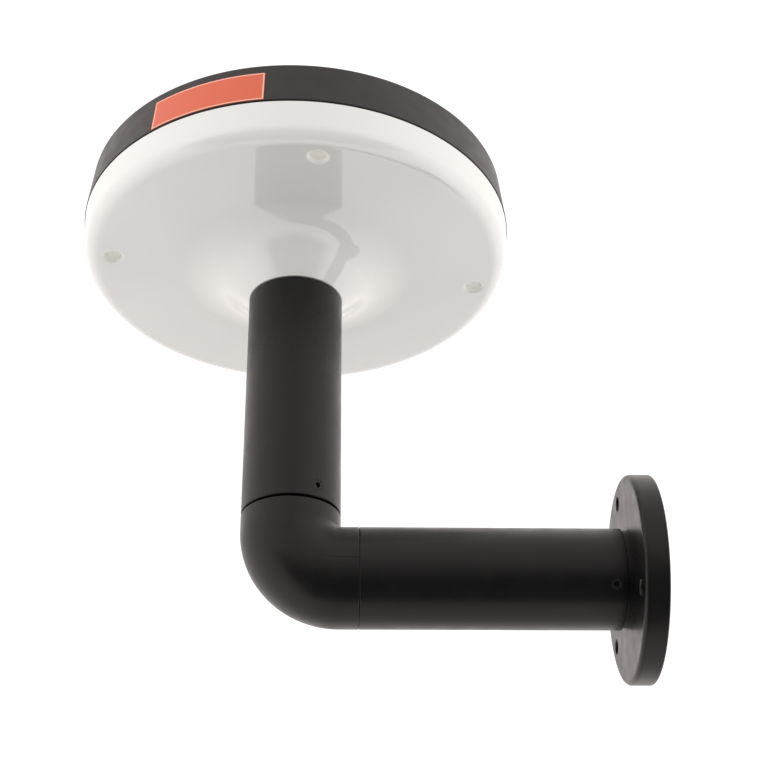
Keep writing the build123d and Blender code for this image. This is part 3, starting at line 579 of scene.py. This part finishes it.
# Post: the upright length of the same tube, tapped just above the elbow for its grub screws.
# It turns with the lamp head on the elbow's spigot until those are tightened.
POST_FOOT = 32.3
POST_END = 156.7
POST_GRUB_PLACE = 38.9
POST_GRUB_ANGLE = -57.0


def round_post(profile, angles):
    """Points of a profile (height, radius) turned about the post's axis."""
    height, radius = np.array(profile, float).T
    x = POST_X + radius[:, None] * np.cos(angles)
    y = radius[:, None] * np.sin(angles)
    return np.stack([x, y, np.broadcast_to(height[:, None], x.shape)], axis=-1)


post_angles = np.radians(POST_GRUB_ANGLE + column_turn * np.arange(COLUMNS))
post_profile, post_hole_row = tube_profile(POST_FOOT, POST_END, POST_GRUB_PLACE)
post_points = round_post(post_profile, post_angles)
post_middle = POST_X * ALONG + POST_GRUB_PLACE * UP
post_holes = tapped_holes(post_middle, UP, ALONG, ACROSS, POST_GRUB_ANGLE, post_hole_row)
make_piece("post", pierced(post_points, post_holes), bracket_coat, "head", "bracket_paint", "post_tube")
post_grubs = [grub_screw(well["centre"], well["out"]) for well in post_holes]
make_piece("post_grubs", post_grubs, grub_black, "head", "grub_steel", "post_grub_screws")


# Stem and its screws: a turned steel spigot pressed into the post, with a flange screwed under the deck of
# the head. They are hidden inside the head and keep the solids' shapes.
def dress(finishes):
    """Gives the solids' own objects better finishes, by node, in place of their plain ones."""
    for node, finish in finishes.items():
        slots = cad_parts[node].data.materials
        for place in range(len(slots)):
            slots[place] = finish


zinc = grained("zinc", (0.48, 0.48, 0.5), (0.66, 0.66, 0.66), size=2.5, detail=4.0, Metallic=1.0)
gloss(zinc, noise(zinc, size=0.8), low=0.24, high=0.42)
relief(zinc, noise(zinc, size=0.3), depth=0.008)
dress({"head_stem": bracket_coat, "stem_screws": zinc})

# Housing: the black moulded ring of the head, with a sloping band outside, a deck below and a ledge inside.
# It is weatherproof plastic with a fine spark-eroded texture from its mould, with bosses for the screws.
STEM_BORE = 14.1
DECK_LOW = 193.0
DECK_HIGH = 195.0
DECK_JOIN = (60.0, 59.0)
LIP_RADIUS = 109.0
LIP_INSIDE = 106.8
BAND_FOOT = 196.5
BAND_FOOT_RADIUS = 112.0
BAND_TOP = 221.7
BAND_TOP_RADIUS = 109.2
PANEL_RECESS = 105.2
LEDGE_TOP = 216.5
LEDGE_LOW = 214.5
LEDGE_INSIDE = 100.0
HOUSING_ROUNDINGS = [0.3, 0.2, 0.5, 1.6, 0.3, 0.1, 0.3, 0.3, 0.3, 0.4, 0.2, 0.2]
HOUSING_COLUMNS = 384
SCREW_RING = 95.5
SCREW_COUNT = 4
SCREW_ANGLE = 7.0
BOSS_RADIUS = 6.0
BOSS_FOOT = 189.6
BOSS_COLUMNS = 48
INSERT_RADIUS = 3.0

housing_black = grained("housing_black", (0.009, 0.0088, 0.0088), (0.014, 0.0135, 0.0133), size=26.0)
gloss(housing_black, noise(housing_black, size=8.0, detail=3.0), low=0.38, high=0.48)
relief(housing_black, noise(housing_black, size=0.7, detail=3.0), depth=0.012)

housing_profile = eased(
    [
        (DECK_JOIN[0], DECK_LOW),
        (LIP_RADIUS, DECK_LOW),
        (LIP_RADIUS, BAND_FOOT),
        (BAND_FOOT_RADIUS, BAND_FOOT),
        (BAND_TOP_RADIUS, BAND_TOP),
        (PANEL_RECESS, BAND_TOP),
        (PANEL_RECESS, LEDGE_TOP),
        (LEDGE_INSIDE, LEDGE_TOP),
        (LEDGE_INSIDE, LEDGE_LOW),
        (LIP_INSIDE, LEDGE_LOW),
        (LIP_INSIDE, DECK_HIGH),
        (STEM_BORE, DECK_HIGH),
        (STEM_BORE, DECK_LOW),
        (DECK_JOIN[1], DECK_LOW),
    ],
    HOUSING_ROUNDINGS,
)
housing_angles = 2 * pi * np.arange(HOUSING_COLUMNS) / HOUSING_COLUMNS
housing_points = round_post(housing_profile[:, ::-1], housing_angles)
screw_turns = SCREW_ANGLE + 360 * np.arange(SCREW_COUNT) / SCREW_COUNT
screw_directions = [outward_at(turn, ALONG, ACROSS) for turn in screw_turns]


def boss(outward):
    """A tube about an upright axis on the screw circle: a rectangle turned about that axis."""
    turns = 2 * pi * np.arange(BOSS_COLUMNS) / BOSS_COLUMNS
    section = [
        (BOSS_FOOT, BOSS_RADIUS),
        (DECK_HIGH, BOSS_RADIUS),
        (DECK_HIGH, INSERT_RADIUS),
        (BOSS_FOOT, INSERT_RADIUS),
    ]
    return quads(round_post(section, turns) + SCREW_RING * outward, closed_rows=True)


housing_parts = [quads(housing_points, closed_rows=True)] + [boss(outward) for outward in screw_directions]
make_piece("housing", housing_parts, housing_black, "head", "housing_black", "head_housing")

# Diffuser: a glossy opal bowl, injection moulded in white acrylic, with a flat ring and a funnel down to
# the post. Four screws sit deep in round recesses of the flat ring, each in a cup that stands up inside.
COLLAR_RADIUS = 21.3
COLLAR_FOOT = 150.7
FLAT_LEVEL = 176.1
FLAT_START = 80.0
FUNNEL_FOOT = (24.2, 157.1)
MOUTH = (46.7, FLAT_LEVEL)
FLAT_CORNER = (109.6, FLAT_LEVEL)
RIM_CORNER = (111.6, 195.9)
COLLAR_BLEND = 0.3
FOOT_BLEND = 0.4
MOUTH_BLEND = 38.3
FLAT_BLEND = 8.0
OPAL_WALL = 2.0
RECESS_RADIUS = 4.1
RECESS_DEPTH = 11.0
RECESS_CORNER = 0.3
RECESS_MOUTH = 1.9
CUP_WALL = 2.0
CUP_FLOOR = 2.4
CUP_EASE = (0.1, 0.2)
OPAL_COLUMNS = 384
FUNNEL_STEPS = (5, 5, 32)
FLAT_STEPS = 20
FLAT_ROWS = [82, 86]
RECESS_CELLS = 4
RECESS_STEPS = 7
GLOW_DEPTH = 5.0
GLOW_AT_MOUTH = 0.05
GLOW_IN_DEPTH = 0.22
GLOW_TINT = (1.0, 0.985, 0.94, 1)


def math_step(finish, operation, first, second=0.0):
    """A simple step on two sources, either of which may be a plain number: its result socket."""
    step = add_node(finish, "ShaderNodeMath")
    step.operation = operation
    for place, source in enumerate((first, second)):
        if isinstance(source, (int, float)):
            step.inputs[place].default_value = source
        else:
            finish.node_tree.links.new(source, step.inputs[place])
    return step.outputs["Value"]


def axes(finish):
    """The three Object coordinates as sockets."""
    place = add_node(finish, "ShaderNodeTexCoord")
    parts = add_node(finish, "ShaderNodeSeparateXYZ")
    finish.node_tree.links.new(place.outputs["Object"], parts.inputs["Vector"])
    return parts.outputs["X"], parts.outputs["Y"], parts.outputs["Z"]


opal = grained(
    "opal",
    dark=(0.735, 0.728, 0.705),
    light=(0.765, 0.757, 0.732),
    size=60.0,
    detail=2.0,
    IOR=1.6,
    Coat_Weight=1.0,
    Coat_Roughness=0.03,
    Coat_IOR=1.6,
)
gloss(opal, noise(opal, size=18.0), low=0.04, high=0.075)
relief(opal, noise(opal, size=9.0, detail=1.0), depth=0.003)

# The depth of a recess has a painted glow: an emission, rising with depth, stands in for light through the
# moulding.
opal_painted_glow = grained(
    "opal_painted_glow",
    dark=(0.69, 0.68, 0.64),
    light=(0.72, 0.71, 0.67),
    size=3.0,
    detail=2.0,
    Roughness=0.25,
    Emission_Color=GLOW_TINT,
)
relief(opal_painted_glow, noise(opal_painted_glow, size=2.0, detail=1.0), depth=0.004)
deep_level = math_step(opal_painted_glow, "SUBTRACT", axes(opal_painted_glow)[2], FLAT_LEVEL * MILLIMETRE)
deep_glow = add_node(
    opal_painted_glow,
    "ShaderNodeMapRange",
    From_Max=GLOW_DEPTH * MILLIMETRE,
    To_Min=GLOW_AT_MOUTH,
    To_Max=GLOW_IN_DEPTH,
)
deep_shader = opal_painted_glow.node_tree.nodes["Principled BSDF"]
opal_painted_glow.node_tree.links.new(deep_level, deep_glow.inputs["Value"])
opal_painted_glow.node_tree.links.new(deep_glow.outputs["Result"], deep_shader.inputs["Emission Strength"])


def funnel_skin(wall):
    """Profile of the funnel at a depth into its wall: collar, step past the post's end, slope and mouth.

    Each corner lies where its two sides meet when both are moved in by that depth.
    """
    rise = np.arctan2(MOUTH[1] - FUNNEL_FOOT[1], MOUTH[0] - FUNNEL_FOOT[0])
    shift = wall * tan(rise / 2)
    corners = [
        (COLLAR_RADIUS - wall, COLLAR_FOOT),
        (COLLAR_RADIUS - wall, FUNNEL_FOOT[1] + wall),
        (FUNNEL_FOOT[0] - shift, FUNNEL_FOOT[1] + wall),
        (MOUTH[0] - shift, FLAT_LEVEL + wall),
        (FLAT_START, FLAT_LEVEL + wall),
    ]
    return eased(corners, [COLLAR_BLEND + wall, FOOT_BLEND, MOUTH_BLEND + wall], FUNNEL_STEPS)


opal_angles = np.radians(SCREW_ANGLE + 360 / OPAL_COLUMNS * np.arange(OPAL_COLUMNS))
recess_step = 2 * pi * SCREW_RING / OPAL_COLUMNS
recess_rows = SCREW_RING + recess_step * np.arange(-RECESS_CELLS, RECESS_CELLS + 1)
flat_rows = np.r_[FLAT_ROWS, recess_rows]
flat_ring = np.c_[flat_rows, np.full(flat_rows.size, FLAT_LEVEL)]
shoulder = eased([flat_ring[-1], FLAT_CORNER, RIM_CORNER], [FLAT_BLEND], FLAT_STEPS)
bowl_side = np.concatenate([flat_ring, shoulder[2:]])
slope = np.gradient(bowl_side, axis=0)
slope /= np.linalg.norm(slope, axis=1)[:, None]
inside_side = bowl_side + OPAL_WALL * np.c_[-slope[:, 1], slope[:, 0]]
inside_side[-1, 1] = RIM_CORNER[1]
funnel = funnel_skin(0.0)
outside_skin = np.concatenate([funnel, bowl_side])
inside_skin = np.concatenate([funnel_skin(OPAL_WALL), inside_side])[::-1]
opal_profile = np.concatenate([outside_skin, inside_skin])
opal_points = round_post(opal_profile[:, ::-1], opal_angles)

mouth_turn = np.linspace(0, pi / 2, RECESS_STEPS)
mouth_radii = RECESS_RADIUS + RECESS_MOUTH * (1 - np.sin(mouth_turn))
mouth_depths = RECESS_MOUTH * (1 - np.cos(mouth_turn))
recess_rings = [
    *zip(mouth_radii, mouth_depths),
    (RECESS_RADIUS, RECESS_DEPTH - RECESS_CORNER),
    (RECESS_RADIUS - RECESS_CORNER, RECESS_DEPTH),
    (0.0, RECESS_DEPTH),
]
cup_radius = RECESS_RADIUS + CUP_WALL
cup_height = RECESS_DEPTH + CUP_FLOOR - OPAL_WALL
cup_rings = [
    (cup_radius + CUP_EASE[0], 0.0),
    (cup_radius, -CUP_EASE[1]),
    (cup_radius, -cup_height),
    (0.0, -cup_height),
]
first_outside = len(funnel) + len(FLAT_ROWS)
first_inside = 2 * len(outside_skin) - first_outside - recess_rows.size
recesses = []
cups = []
for step, outward in enumerate(screw_directions):
    column = step * OPAL_COLUMNS // SCREW_COUNT
    columns = (column - RECESS_CELLS, column + RECESS_CELLS)
    outer_block = (first_outside, first_outside + 2 * RECESS_CELLS, *columns)
    inner_block = (first_inside, first_inside + 2 * RECESS_CELLS, *columns)
    recess_axis = POST_X * ALONG + SCREW_RING * outward
    recesses.append(round_well(outer_block, recess_axis + FLAT_LEVEL * UP, outward, -UP, recess_rings))
    cup_centre = recess_axis + (FLAT_LEVEL + OPAL_WALL) * UP
    cups.append(round_well(inner_block, cup_centre, outward, UP, cup_rings))
opal_parts = pierced(opal_points, recesses + cups)
opal_bowl = make_piece("opal_bowl", opal_parts, opal, "head", "opal", "diffuser")

# The faces deep in the recesses take the second material, the one with the painted glow.
opal_bowl.data.materials.append(opal_painted_glow)
middles = np.empty(3 * len(opal_bowl.data.polygons))
opal_bowl.data.polygons.foreach_get("center", middles)
middles = middles.reshape(-1, 3) / MILLIMETRE
recess_centres = np.array([well["centre"] for well in recesses])
from_recess = np.linalg.norm(middles[:, None, :2] - recess_centres[None, :, :2], axis=2).min(axis=1)
above_flat = middles[:, 2] - FLAT_LEVEL
in_recess = (from_recess < RECESS_RADIUS + RECESS_MOUTH / 2) & (above_flat > RECESS_MOUTH / 3)
in_recess &= above_flat < RECESS_DEPTH + CUP_FLOOR / 2
opal_bowl.data.polygons.foreach_set("material_index", in_recess.astype(np.int32))

# Gasket and screws of the diffuser: a black rubber ring under the band, and four zinc-plated cross-head
# screws. The screws pull the diffuser up against the ring, into brass inserts in the housing.
rubber = grained("rubber", (0.016, 0.016, 0.016), (0.03, 0.03, 0.03), size=6.0, Roughness=0.7)
relief(rubber, noise(rubber, size=0.5), depth=0.02)
brass = grained("brass", (0.5, 0.34, 0.12), (0.68, 0.5, 0.22), size=2.0, Roughness=0.35, Metallic=1.0)
dress({"diffuser_gasket": rubber, "diffuser_screws": zinc, "screw_inserts": brass})

# Label: a blank printed film stuck on the band, orange with a thin pale border line.
# It follows the band's slope.
LABEL_START = -128.5
LABEL_END = -97.5
LABEL_LOW = 0.6
LABEL_HIGH = 19.2
LABEL_STAND_OFF = 0.02
LABEL_THICKNESS = 0.25
LABEL_COLUMNS = 64
LABEL_ROWS = 24
BORDER_INSET = 0.25
BORDER_WIDTH = 0.6
BORDER_SHARE = (0.42, 0.66)
BORDER_PALE = (0.8, 0.48, 0.36)
FILM_ORANGE = (0.7, 0.128, 0.06)
FILM_DEEP = (0.66, 0.112, 0.05)
FILM_MOTTLE = 0.1

# The film's colour goes by the distance to the border line, which lies at an even margin from the edges.
label_film = new_finish("label_film", FILM_ORANGE, Roughness=0.4)
label_x, label_y, label_z = axes(label_film)
from_post = math_step(label_film, "SUBTRACT", label_x, POST_X * MILLIMETRE)
bearing = math_step(label_film, "ARCTAN2", label_y, from_post)
past_start = math_step(label_film, "SUBTRACT", bearing, radians(LABEL_START))
before_end = math_step(label_film, "SUBTRACT", radians(LABEL_END), bearing)
nearest_end = math_step(label_film, "MINIMUM", past_start, before_end)
end_margin = math_step(label_film, "MULTIPLY", nearest_end, BAND_FOOT_RADIUS)
above_low = math_step(label_film, "SUBTRACT", label_z, (BAND_FOOT + LABEL_LOW) * MILLIMETRE)
below_high = math_step(label_film, "SUBTRACT", (BAND_FOOT + LABEL_HIGH) * MILLIMETRE, label_z)
nearest_edge = math_step(label_film, "MINIMUM", above_low, below_high)
edge_margin = math_step(label_film, "MULTIPLY", nearest_edge, 1 / MILLIMETRE)
margin = math_step(label_film, "MINIMUM", end_margin, edge_margin)
past_line = math_step(label_film, "SUBTRACT", margin, BORDER_INSET + BORDER_WIDTH / 2)
off_line = math_step(label_film, "ABSOLUTE", past_line)
off_share = math_step(label_film, "DIVIDE", off_line, BORDER_WIDTH)
mottle = math_step(label_film, "MULTIPLY", noise(label_film, size=9.0, detail=3.0), FILM_MOTTLE)
printing = math_step(label_film, "ADD", off_share, mottle)
film_ramp = tone(label_film, printing, BORDER_PALE, FILM_ORANGE, *BORDER_SHARE)
film_ramp.color_ramp.elements.new(1.0).color = (*FILM_DEEP, 1)
relief(label_film, noise(label_film, size=1.5), depth=0.006)

band_slope = (BAND_TOP_RADIUS - BAND_FOOT_RADIUS) / (BAND_TOP - BAND_FOOT)
label_bearings = np.radians(np.linspace(LABEL_START, LABEL_END, LABEL_COLUMNS))
label_rises = np.linspace(LABEL_LOW, LABEL_HIGH, LABEL_ROWS)
label_back = np.c_[BAND_FOOT + label_rises, BAND_FOOT_RADIUS + band_slope * label_rises + LABEL_STAND_OFF]
label_front = label_back + (0, LABEL_THICKNESS)
label_grid = round_post(np.r_[label_front, label_back[::-1]], label_bearings)
label_parts = [quads(label_grid, closed_rows=True, closed_columns=False)]
for end in (0, -1):
    front_line, back_line = np.split(label_grid[:, end], 2)
    label_parts.append(quads(np.stack([front_line, back_line[::-1]]), closed_columns=False))
make_piece("label_sticker", label_parts, label_film, "head", "label_orange", "label")

# Inside of the head: the light board, the batteries in their tray and the charge controller with its leads.
# They are hidden by the opal and the panel, and keep the solids' shapes.
board_white = grained("board_white", (0.76, 0.76, 0.74), (0.84, 0.84, 0.82), size=9.0, Roughness=0.35)
phosphor = grained("phosphor", (0.78, 0.6, 0.16), (0.88, 0.72, 0.26), size=0.8, detail=2.0, Roughness=0.45)
tray_black = grained("tray_black", (0.03, 0.03, 0.03), (0.05, 0.05, 0.05), size=14.0, Roughness=0.5)
cell_wrap = grained("cell_wrap", (0.06, 0.2, 0.44), (0.1, 0.3, 0.55), size=20.0, Roughness=0.3)
nickel = grained("nickel", (0.58, 0.56, 0.52), (0.7, 0.68, 0.64), size=3.0, Roughness=0.25, Metallic=1.0)
board_green = grained(
    "board_green",
    dark=(0.014, 0.12, 0.045),
    light=(0.03, 0.2, 0.08),
    size=5.0,
    detail=4.0,
    Roughness=0.35,
)
parts_black = grained("parts_black", (0.022, 0.022, 0.022), (0.042, 0.042, 0.042), size=3.0, Roughness=0.5)
socket_white = grained(
    "socket_white",
    dark=(0.71, 0.7, 0.65),
    light=(0.78, 0.77, 0.72),
    size=4.0,
    detail=2.0,
    Roughness=0.45,
)
lead_red = grained("lead_red", (0.36, 0.02, 0.02), (0.47, 0.03, 0.03), size=5.0, detail=2.0, Roughness=0.5)
dress(
    {
        "led_board": board_white,
        "led_chips": phosphor,
        "led_board_screws": zinc,
        "battery_tray": tray_black,
        "battery_cells": cell_wrap,
        "battery_contacts": nickel,
        "controller_board": board_green,
        "controller_parts": parts_black,
        "controller_sockets": socket_white,
        "controller_screws": zinc,
        "deck_grommet": rubber,
        "panel_leads": lead_red,
        "led_leads": lead_red,
        "battery_leads": lead_red,
    }
)

# Solar panel: two columns of dark blue cells with fine printed fingers, joined by tinned ribbons.
# They lie on a black sheet under tempered glass, in the top of the housing on a rubber seal.
FINGER_STEP = 1.9
FINGER_WIDTH = 0.14
CELL_DARK = (0.008, 0.014, 0.045)
CELL_LIGHT = (0.016, 0.028, 0.085)
FINGER_GREY = (0.07, 0.075, 0.1)
CELL_LAST = 0.95

silicon = new_finish("silicon", CELL_LIGHT)
finger_place = math_step(silicon, "DIVIDE", axes(silicon)[1], FINGER_STEP * MILLIMETRE)
finger_share = math_step(silicon, "FRACT", finger_place)
on_finger = math_step(silicon, "LESS_THAN", finger_share, FINGER_WIDTH / FINGER_STEP)
cell_tone = math_step(silicon, "ADD", noise(silicon, size=7.0, detail=3.0), on_finger)
cell_ramp = tone(silicon, cell_tone, CELL_DARK, CELL_LIGHT)
cell_ramp.color_ramp.elements.new(CELL_LAST).color = (*CELL_LIGHT, 1)
cell_ramp.color_ramp.elements.new(1.0).color = (*FINGER_GREY, 1)
gloss(silicon, noise(silicon, size=3.0), low=0.2, high=0.34)
back_black = grained("back_black", (0.016, 0.016, 0.018), (0.026, 0.026, 0.028), size=10.0, Roughness=0.5)
tinned = grained("tinned", (0.5, 0.5, 0.5), (0.68, 0.68, 0.68), size=1.5, Roughness=0.32, Metallic=1.0)
panel_glass = new_finish("panel_glass", (0.96, 0.98, 0.98), IOR=1.45, Transmission_Weight=1.0)
gloss(panel_glass, noise(panel_glass, size=30.0, detail=3.0), low=0.015, high=0.05)
dress(
    {
        "panel_seal": rubber,
        "panel_backsheet": back_black,
        "solar_cells": silicon,
        "cell_ribbons": tinned,
        "panel_glass": panel_glass,
    }
)

# Studio: a plain pale floor well below the lamp, a white surround and soft lights round about, in metres.
# Reflections see a round room instead: bright behind and low at the sides, and dark low in front.
FLOOR_LEVEL = -0.75
FLOOR_RADIUS = 4.0
FLOOR_ROWS = 24
FLOOR_COLUMNS = 96
ROOM_RADIUS = 3.0
ROOM_ROWS = 48
ROOM_COLUMNS = 96
ROOM_TINT = (1.06, 0.985, 0.96, 1)
MIDDLE_GREYS = [
    (-180, 0.35),
    (-165, 0.62),
    (-120, 0.88),
    (-85, 1.15),
    (-10, 1.12),
    (28, 1.0),
    (38, 0.8),
    (62, 0.68),
    (94, 0.7),
    (106, 0.1),
    (150, 0.07),
    (180, 0.35),
]
LOW_SIDE = 1.22
HIGH_SIDE = 1.1
SIDE_FADE = (-0.35, 0.05)
FRONT_GATE = (0.36, 0.6)
FRONT_SHARES = [(-180, 0.0), (99, 0.0), (107, 1.0), (165, 1.0), (180, 0.0)]
FRONT_WIDENING = [(-180, 0.0), (112, 0.0), (140, 0.28), (170, 0.28), (180, 0.0)]
SKY_FADE = (-1.0, 0.2)
SKY_FRONT = 0.62
SKY_BACK = 1.06
SKY_RIGHT = 0.08
SKY_LEFT = 0.12
LOW_LIGHT_LEVEL = -0.7
post_line = POST_X * MILLIMETRE
lamp_middle = (post_line, 0, 0.12)
head_middle = (post_line, 0, 0.2)
bowl_middle = (post_line, 0, 0.17)


def stage_piece(name, points, finish):
    """A mesh of the studio from a grid of points in metres."""
    corners, faces = quads(points)
    mesh = bpy.data.meshes.new(name)
    mesh.from_pydata(corners.tolist(), [], faces.tolist())
    mesh.materials.append(finish)
    piece = bpy.data.objects.new(name, mesh)
    bpy.context.scene.collection.objects.link(piece)
    return piece


# The floor's angles run backwards, so that its faces point up.
floor_pale = grained(
    "floor_pale",
    dark=(0.425, 0.425, 0.42),
    light=(0.445, 0.445, 0.44),
    size=400.0,
    detail=2.0,
    Roughness=0.85,
)
floor_angle = -2 * pi * np.arange(FLOOR_COLUMNS) / FLOOR_COLUMNS
floor_radius = np.linspace(0, FLOOR_RADIUS, FLOOR_ROWS)[:, None]
floor_x = floor_radius * np.cos(floor_angle)
floor_y = floor_radius * np.sin(floor_angle)
floor_points = np.stack([floor_x, floor_y, np.full_like(floor_x, FLOOR_LEVEL)], axis=-1)
floor = stage_piece("floor", floor_points, floor_pale)
floor.visible_glossy = False


def by_turn(finish, turn, shares):
    """A value that follows (degrees, value) pairs along a turn in radians: its socket."""
    share = add_node(finish, "ShaderNodeMapRange", From_Min=-pi, From_Max=pi)
    ramp = add_node(finish, "ShaderNodeValToRGB")
    finish.node_tree.links.new(turn, share.inputs["Value"])
    finish.node_tree.links.new(share.outputs["Result"], ramp.inputs["Fac"])
    stops = ramp.color_ramp.elements
    for degrees, _ in shares[1:-1]:
        stops.new(degrees / 360 + 0.5)
    for stop, (degrees, value) in zip(stops, shares):
        stop.position = degrees / 360 + 0.5
        stop.color = (value, value, value, 1)
    return ramp.outputs["Color"]


def smooth_step(finish, source, low, high, start, end):
    """A value that eases from a start to an end while its source runs from low to high: its socket."""
    span = add_node(finish, "ShaderNodeMapRange", From_Min=low, From_Max=high, To_Min=start, To_Max=end)
    span.interpolation_type = "SMOOTHSTEP"
    finish.node_tree.links.new(source, span.inputs["Value"])
    return span.outputs["Result"]


# The room's light by direction: a middle value by the turn about the arm's line (0 is level behind, 90 is
# straight down, 180 is level in front), rising to the side's value with the sideways part of the direction.
room_finish = new_finish("room_light", (0, 0, 0), Roughness=1.0, IOR=1.0, Emission_Color=ROOM_TINT)
room_x, room_y, room_z = axes(room_finish)
sideways = math_step(room_finish, "ABSOLUTE", math_step(room_finish, "DIVIDE", room_x, ROOM_RADIUS))
rise = math_step(room_finish, "DIVIDE", room_z, ROOM_RADIUS)
room_turn = math_step(room_finish, "ARCTAN2", math_step(room_finish, "MULTIPLY", room_z, -1), room_y)
middle_grey = by_turn(room_finish, room_turn, MIDDLE_GREYS)
side_grey = smooth_step(room_finish, rise, *SIDE_FADE, LOW_SIDE, HIGH_SIDE)
past_front = math_step(room_finish, "SUBTRACT", sideways, by_turn(room_finish, room_turn, FRONT_WIDENING))
gate = smooth_step(room_finish, past_front, *FRONT_GATE, 1.0, 0.0)
shut = math_step(room_finish, "MULTIPLY", gate, by_turn(room_finish, room_turn, FRONT_SHARES))
open_share = math_step(room_finish, "MULTIPLY", sideways, math_step(room_finish, "SUBTRACT", 1.0, shut))
side_gain = math_step(room_finish, "SUBTRACT", side_grey, middle_grey)
gain = math_step(room_finish, "MULTIPLY", side_gain, open_share)
room_light = math_step(room_finish, "ADD", middle_grey, gain)
room_shader = room_finish.node_tree.nodes["Principled BSDF"]
room_finish.node_tree.links.new(room_light, room_shader.inputs["Emission Strength"])

room_height = np.linspace(-pi / 2, pi / 2, ROOM_ROWS)[:, None]
room_bearing = 2 * pi * np.arange(ROOM_COLUMNS) / ROOM_COLUMNS
room_points = ROOM_RADIUS * np.stack(
    np.broadcast_arrays(
        np.cos(room_height) * np.cos(room_bearing),
        np.cos(room_height) * np.sin(room_bearing),
        np.sin(room_height),
    ),
    axis=-1,
)
room = stage_piece("room", room_points, room_finish)
room.location = (post_line, 0, FLAT_LEVEL * MILLIMETRE)
room.visible_camera = False
room.visible_diffuse = False
room.visible_shadow = False
room.visible_transmission = False

# The white surround: brighter behind the lamp than in front of it, and a little brighter at the left.
world = bpy.data.worlds.new("studio")
world.use_nodes = True
sky_place = add_node(world, "ShaderNodeTexCoord")
sky_parts = add_node(world, "ShaderNodeSeparateXYZ")
sky_left = add_node(
    world,
    "ShaderNodeMapRange",
    From_Min=1.0,
    From_Max=-1.0,
    To_Min=SKY_RIGHT,
    To_Max=SKY_LEFT,
)
world.node_tree.links.new(sky_place.outputs["Generated"], sky_parts.inputs["Vector"])
world.node_tree.links.new(sky_parts.outputs["X"], sky_left.inputs["Value"])
sky_depth = smooth_step(world, sky_parts.outputs["Y"], *SKY_FADE, SKY_FRONT, SKY_BACK)
sky_light = math_step(world, "ADD", sky_depth, sky_left.outputs["Result"])
sky = world.node_tree.nodes["Background"]
sky.inputs["Color"].default_value = (1, 1, 1, 1)
world.node_tree.links.new(sky_light, sky.inputs["Strength"])
bpy.context.scene.world = world
bpy.context.scene.view_settings.view_transform = "Standard"


def soft_light(name, place, target, size, power):
    """A square soft light that faces a target and that neither the camera nor a reflection sees."""
    data = bpy.data.lights.new(name, "AREA")
    data.size = size
    data.energy = power
    light = bpy.data.objects.new(name, data)
    away = np.array(place, float) - np.array(target, float)
    away /= np.linalg.norm(away)
    across = np.cross(UP, away)
    across /= np.linalg.norm(across)
    matrix = np.eye(4)
    matrix[:3, 0] = across
    matrix[:3, 1] = np.cross(away, across)
    matrix[:3, 2] = away
    matrix[:3, 3] = place
    light.matrix_world = Matrix(matrix.tolist())
    light.visible_camera = False
    light.visible_glossy = False
    bpy.context.scene.collection.objects.link(light)


low_back = (post_line, 0.5, LOW_LIGHT_LEVEL)
low_front = (post_line, -0.4, LOW_LIGHT_LEVEL)
soft_light("left_light", place=(-1.5, -0.35, 0.22), target=lamp_middle, size=1.0, power=6.2)
soft_light("right_light", place=(1.2, 0.0, 0.12), target=lamp_middle, size=1.0, power=8.0)
soft_light("front_light", place=(post_line, -1.6, 0.3), target=head_middle, size=1.2, power=5.0)
soft_light("low_back_light", place=low_back, target=bowl_middle, size=1.2, power=5.2)
soft_light("low_front_light", place=low_front, target=bowl_middle, size=1.2, power=1.8)

# Camera: below the lamp and in front of it, as the photograph was taken.
# Its place, turns and focal length were fitted to the outlines of the tubes, the flange and the head.
CAMERA_PLACE = np.array([-0.1527, -0.6833, -0.3149])
CAMERA_YAW = 0.0457
CAMERA_PITCH = 0.5495
CAMERA_ROLL = 0.0145
SENSOR = 36.0
FOCAL_PIXELS = 1588.0
PHOTO_WIDTH = 780

camera_data = bpy.data.cameras.new("camera")
camera_data.sensor_width = SENSOR
camera_data.lens = FOCAL_PIXELS / PHOTO_WIDTH * SENSOR
ahead = np.array(
    [
        np.sin(CAMERA_YAW) * np.cos(CAMERA_PITCH),
        np.cos(CAMERA_YAW) * np.cos(CAMERA_PITCH),
        np.sin(CAMERA_PITCH),
    ]
)
level_right = np.array([np.cos(CAMERA_YAW), -np.sin(CAMERA_YAW), 0])
level_down = np.cross(ahead, level_right)
camera_right = np.cos(CAMERA_ROLL) * level_right + np.sin(CAMERA_ROLL) * level_down
camera_down = np.cos(CAMERA_ROLL) * level_down - np.sin(CAMERA_ROLL) * level_right
camera = bpy.data.objects.new("camera", camera_data)
camera_matrix = np.eye(4)
camera_matrix[:3, 0] = camera_right
camera_matrix[:3, 1] = -camera_down
camera_matrix[:3, 2] = -ahead
camera_matrix[:3, 3] = CAMERA_PLACE
camera.matrix_world = Matrix(camera_matrix.tolist())
bpy.context.scene.collection.objects.link(camera)
bpy.context.scene.camera = camera
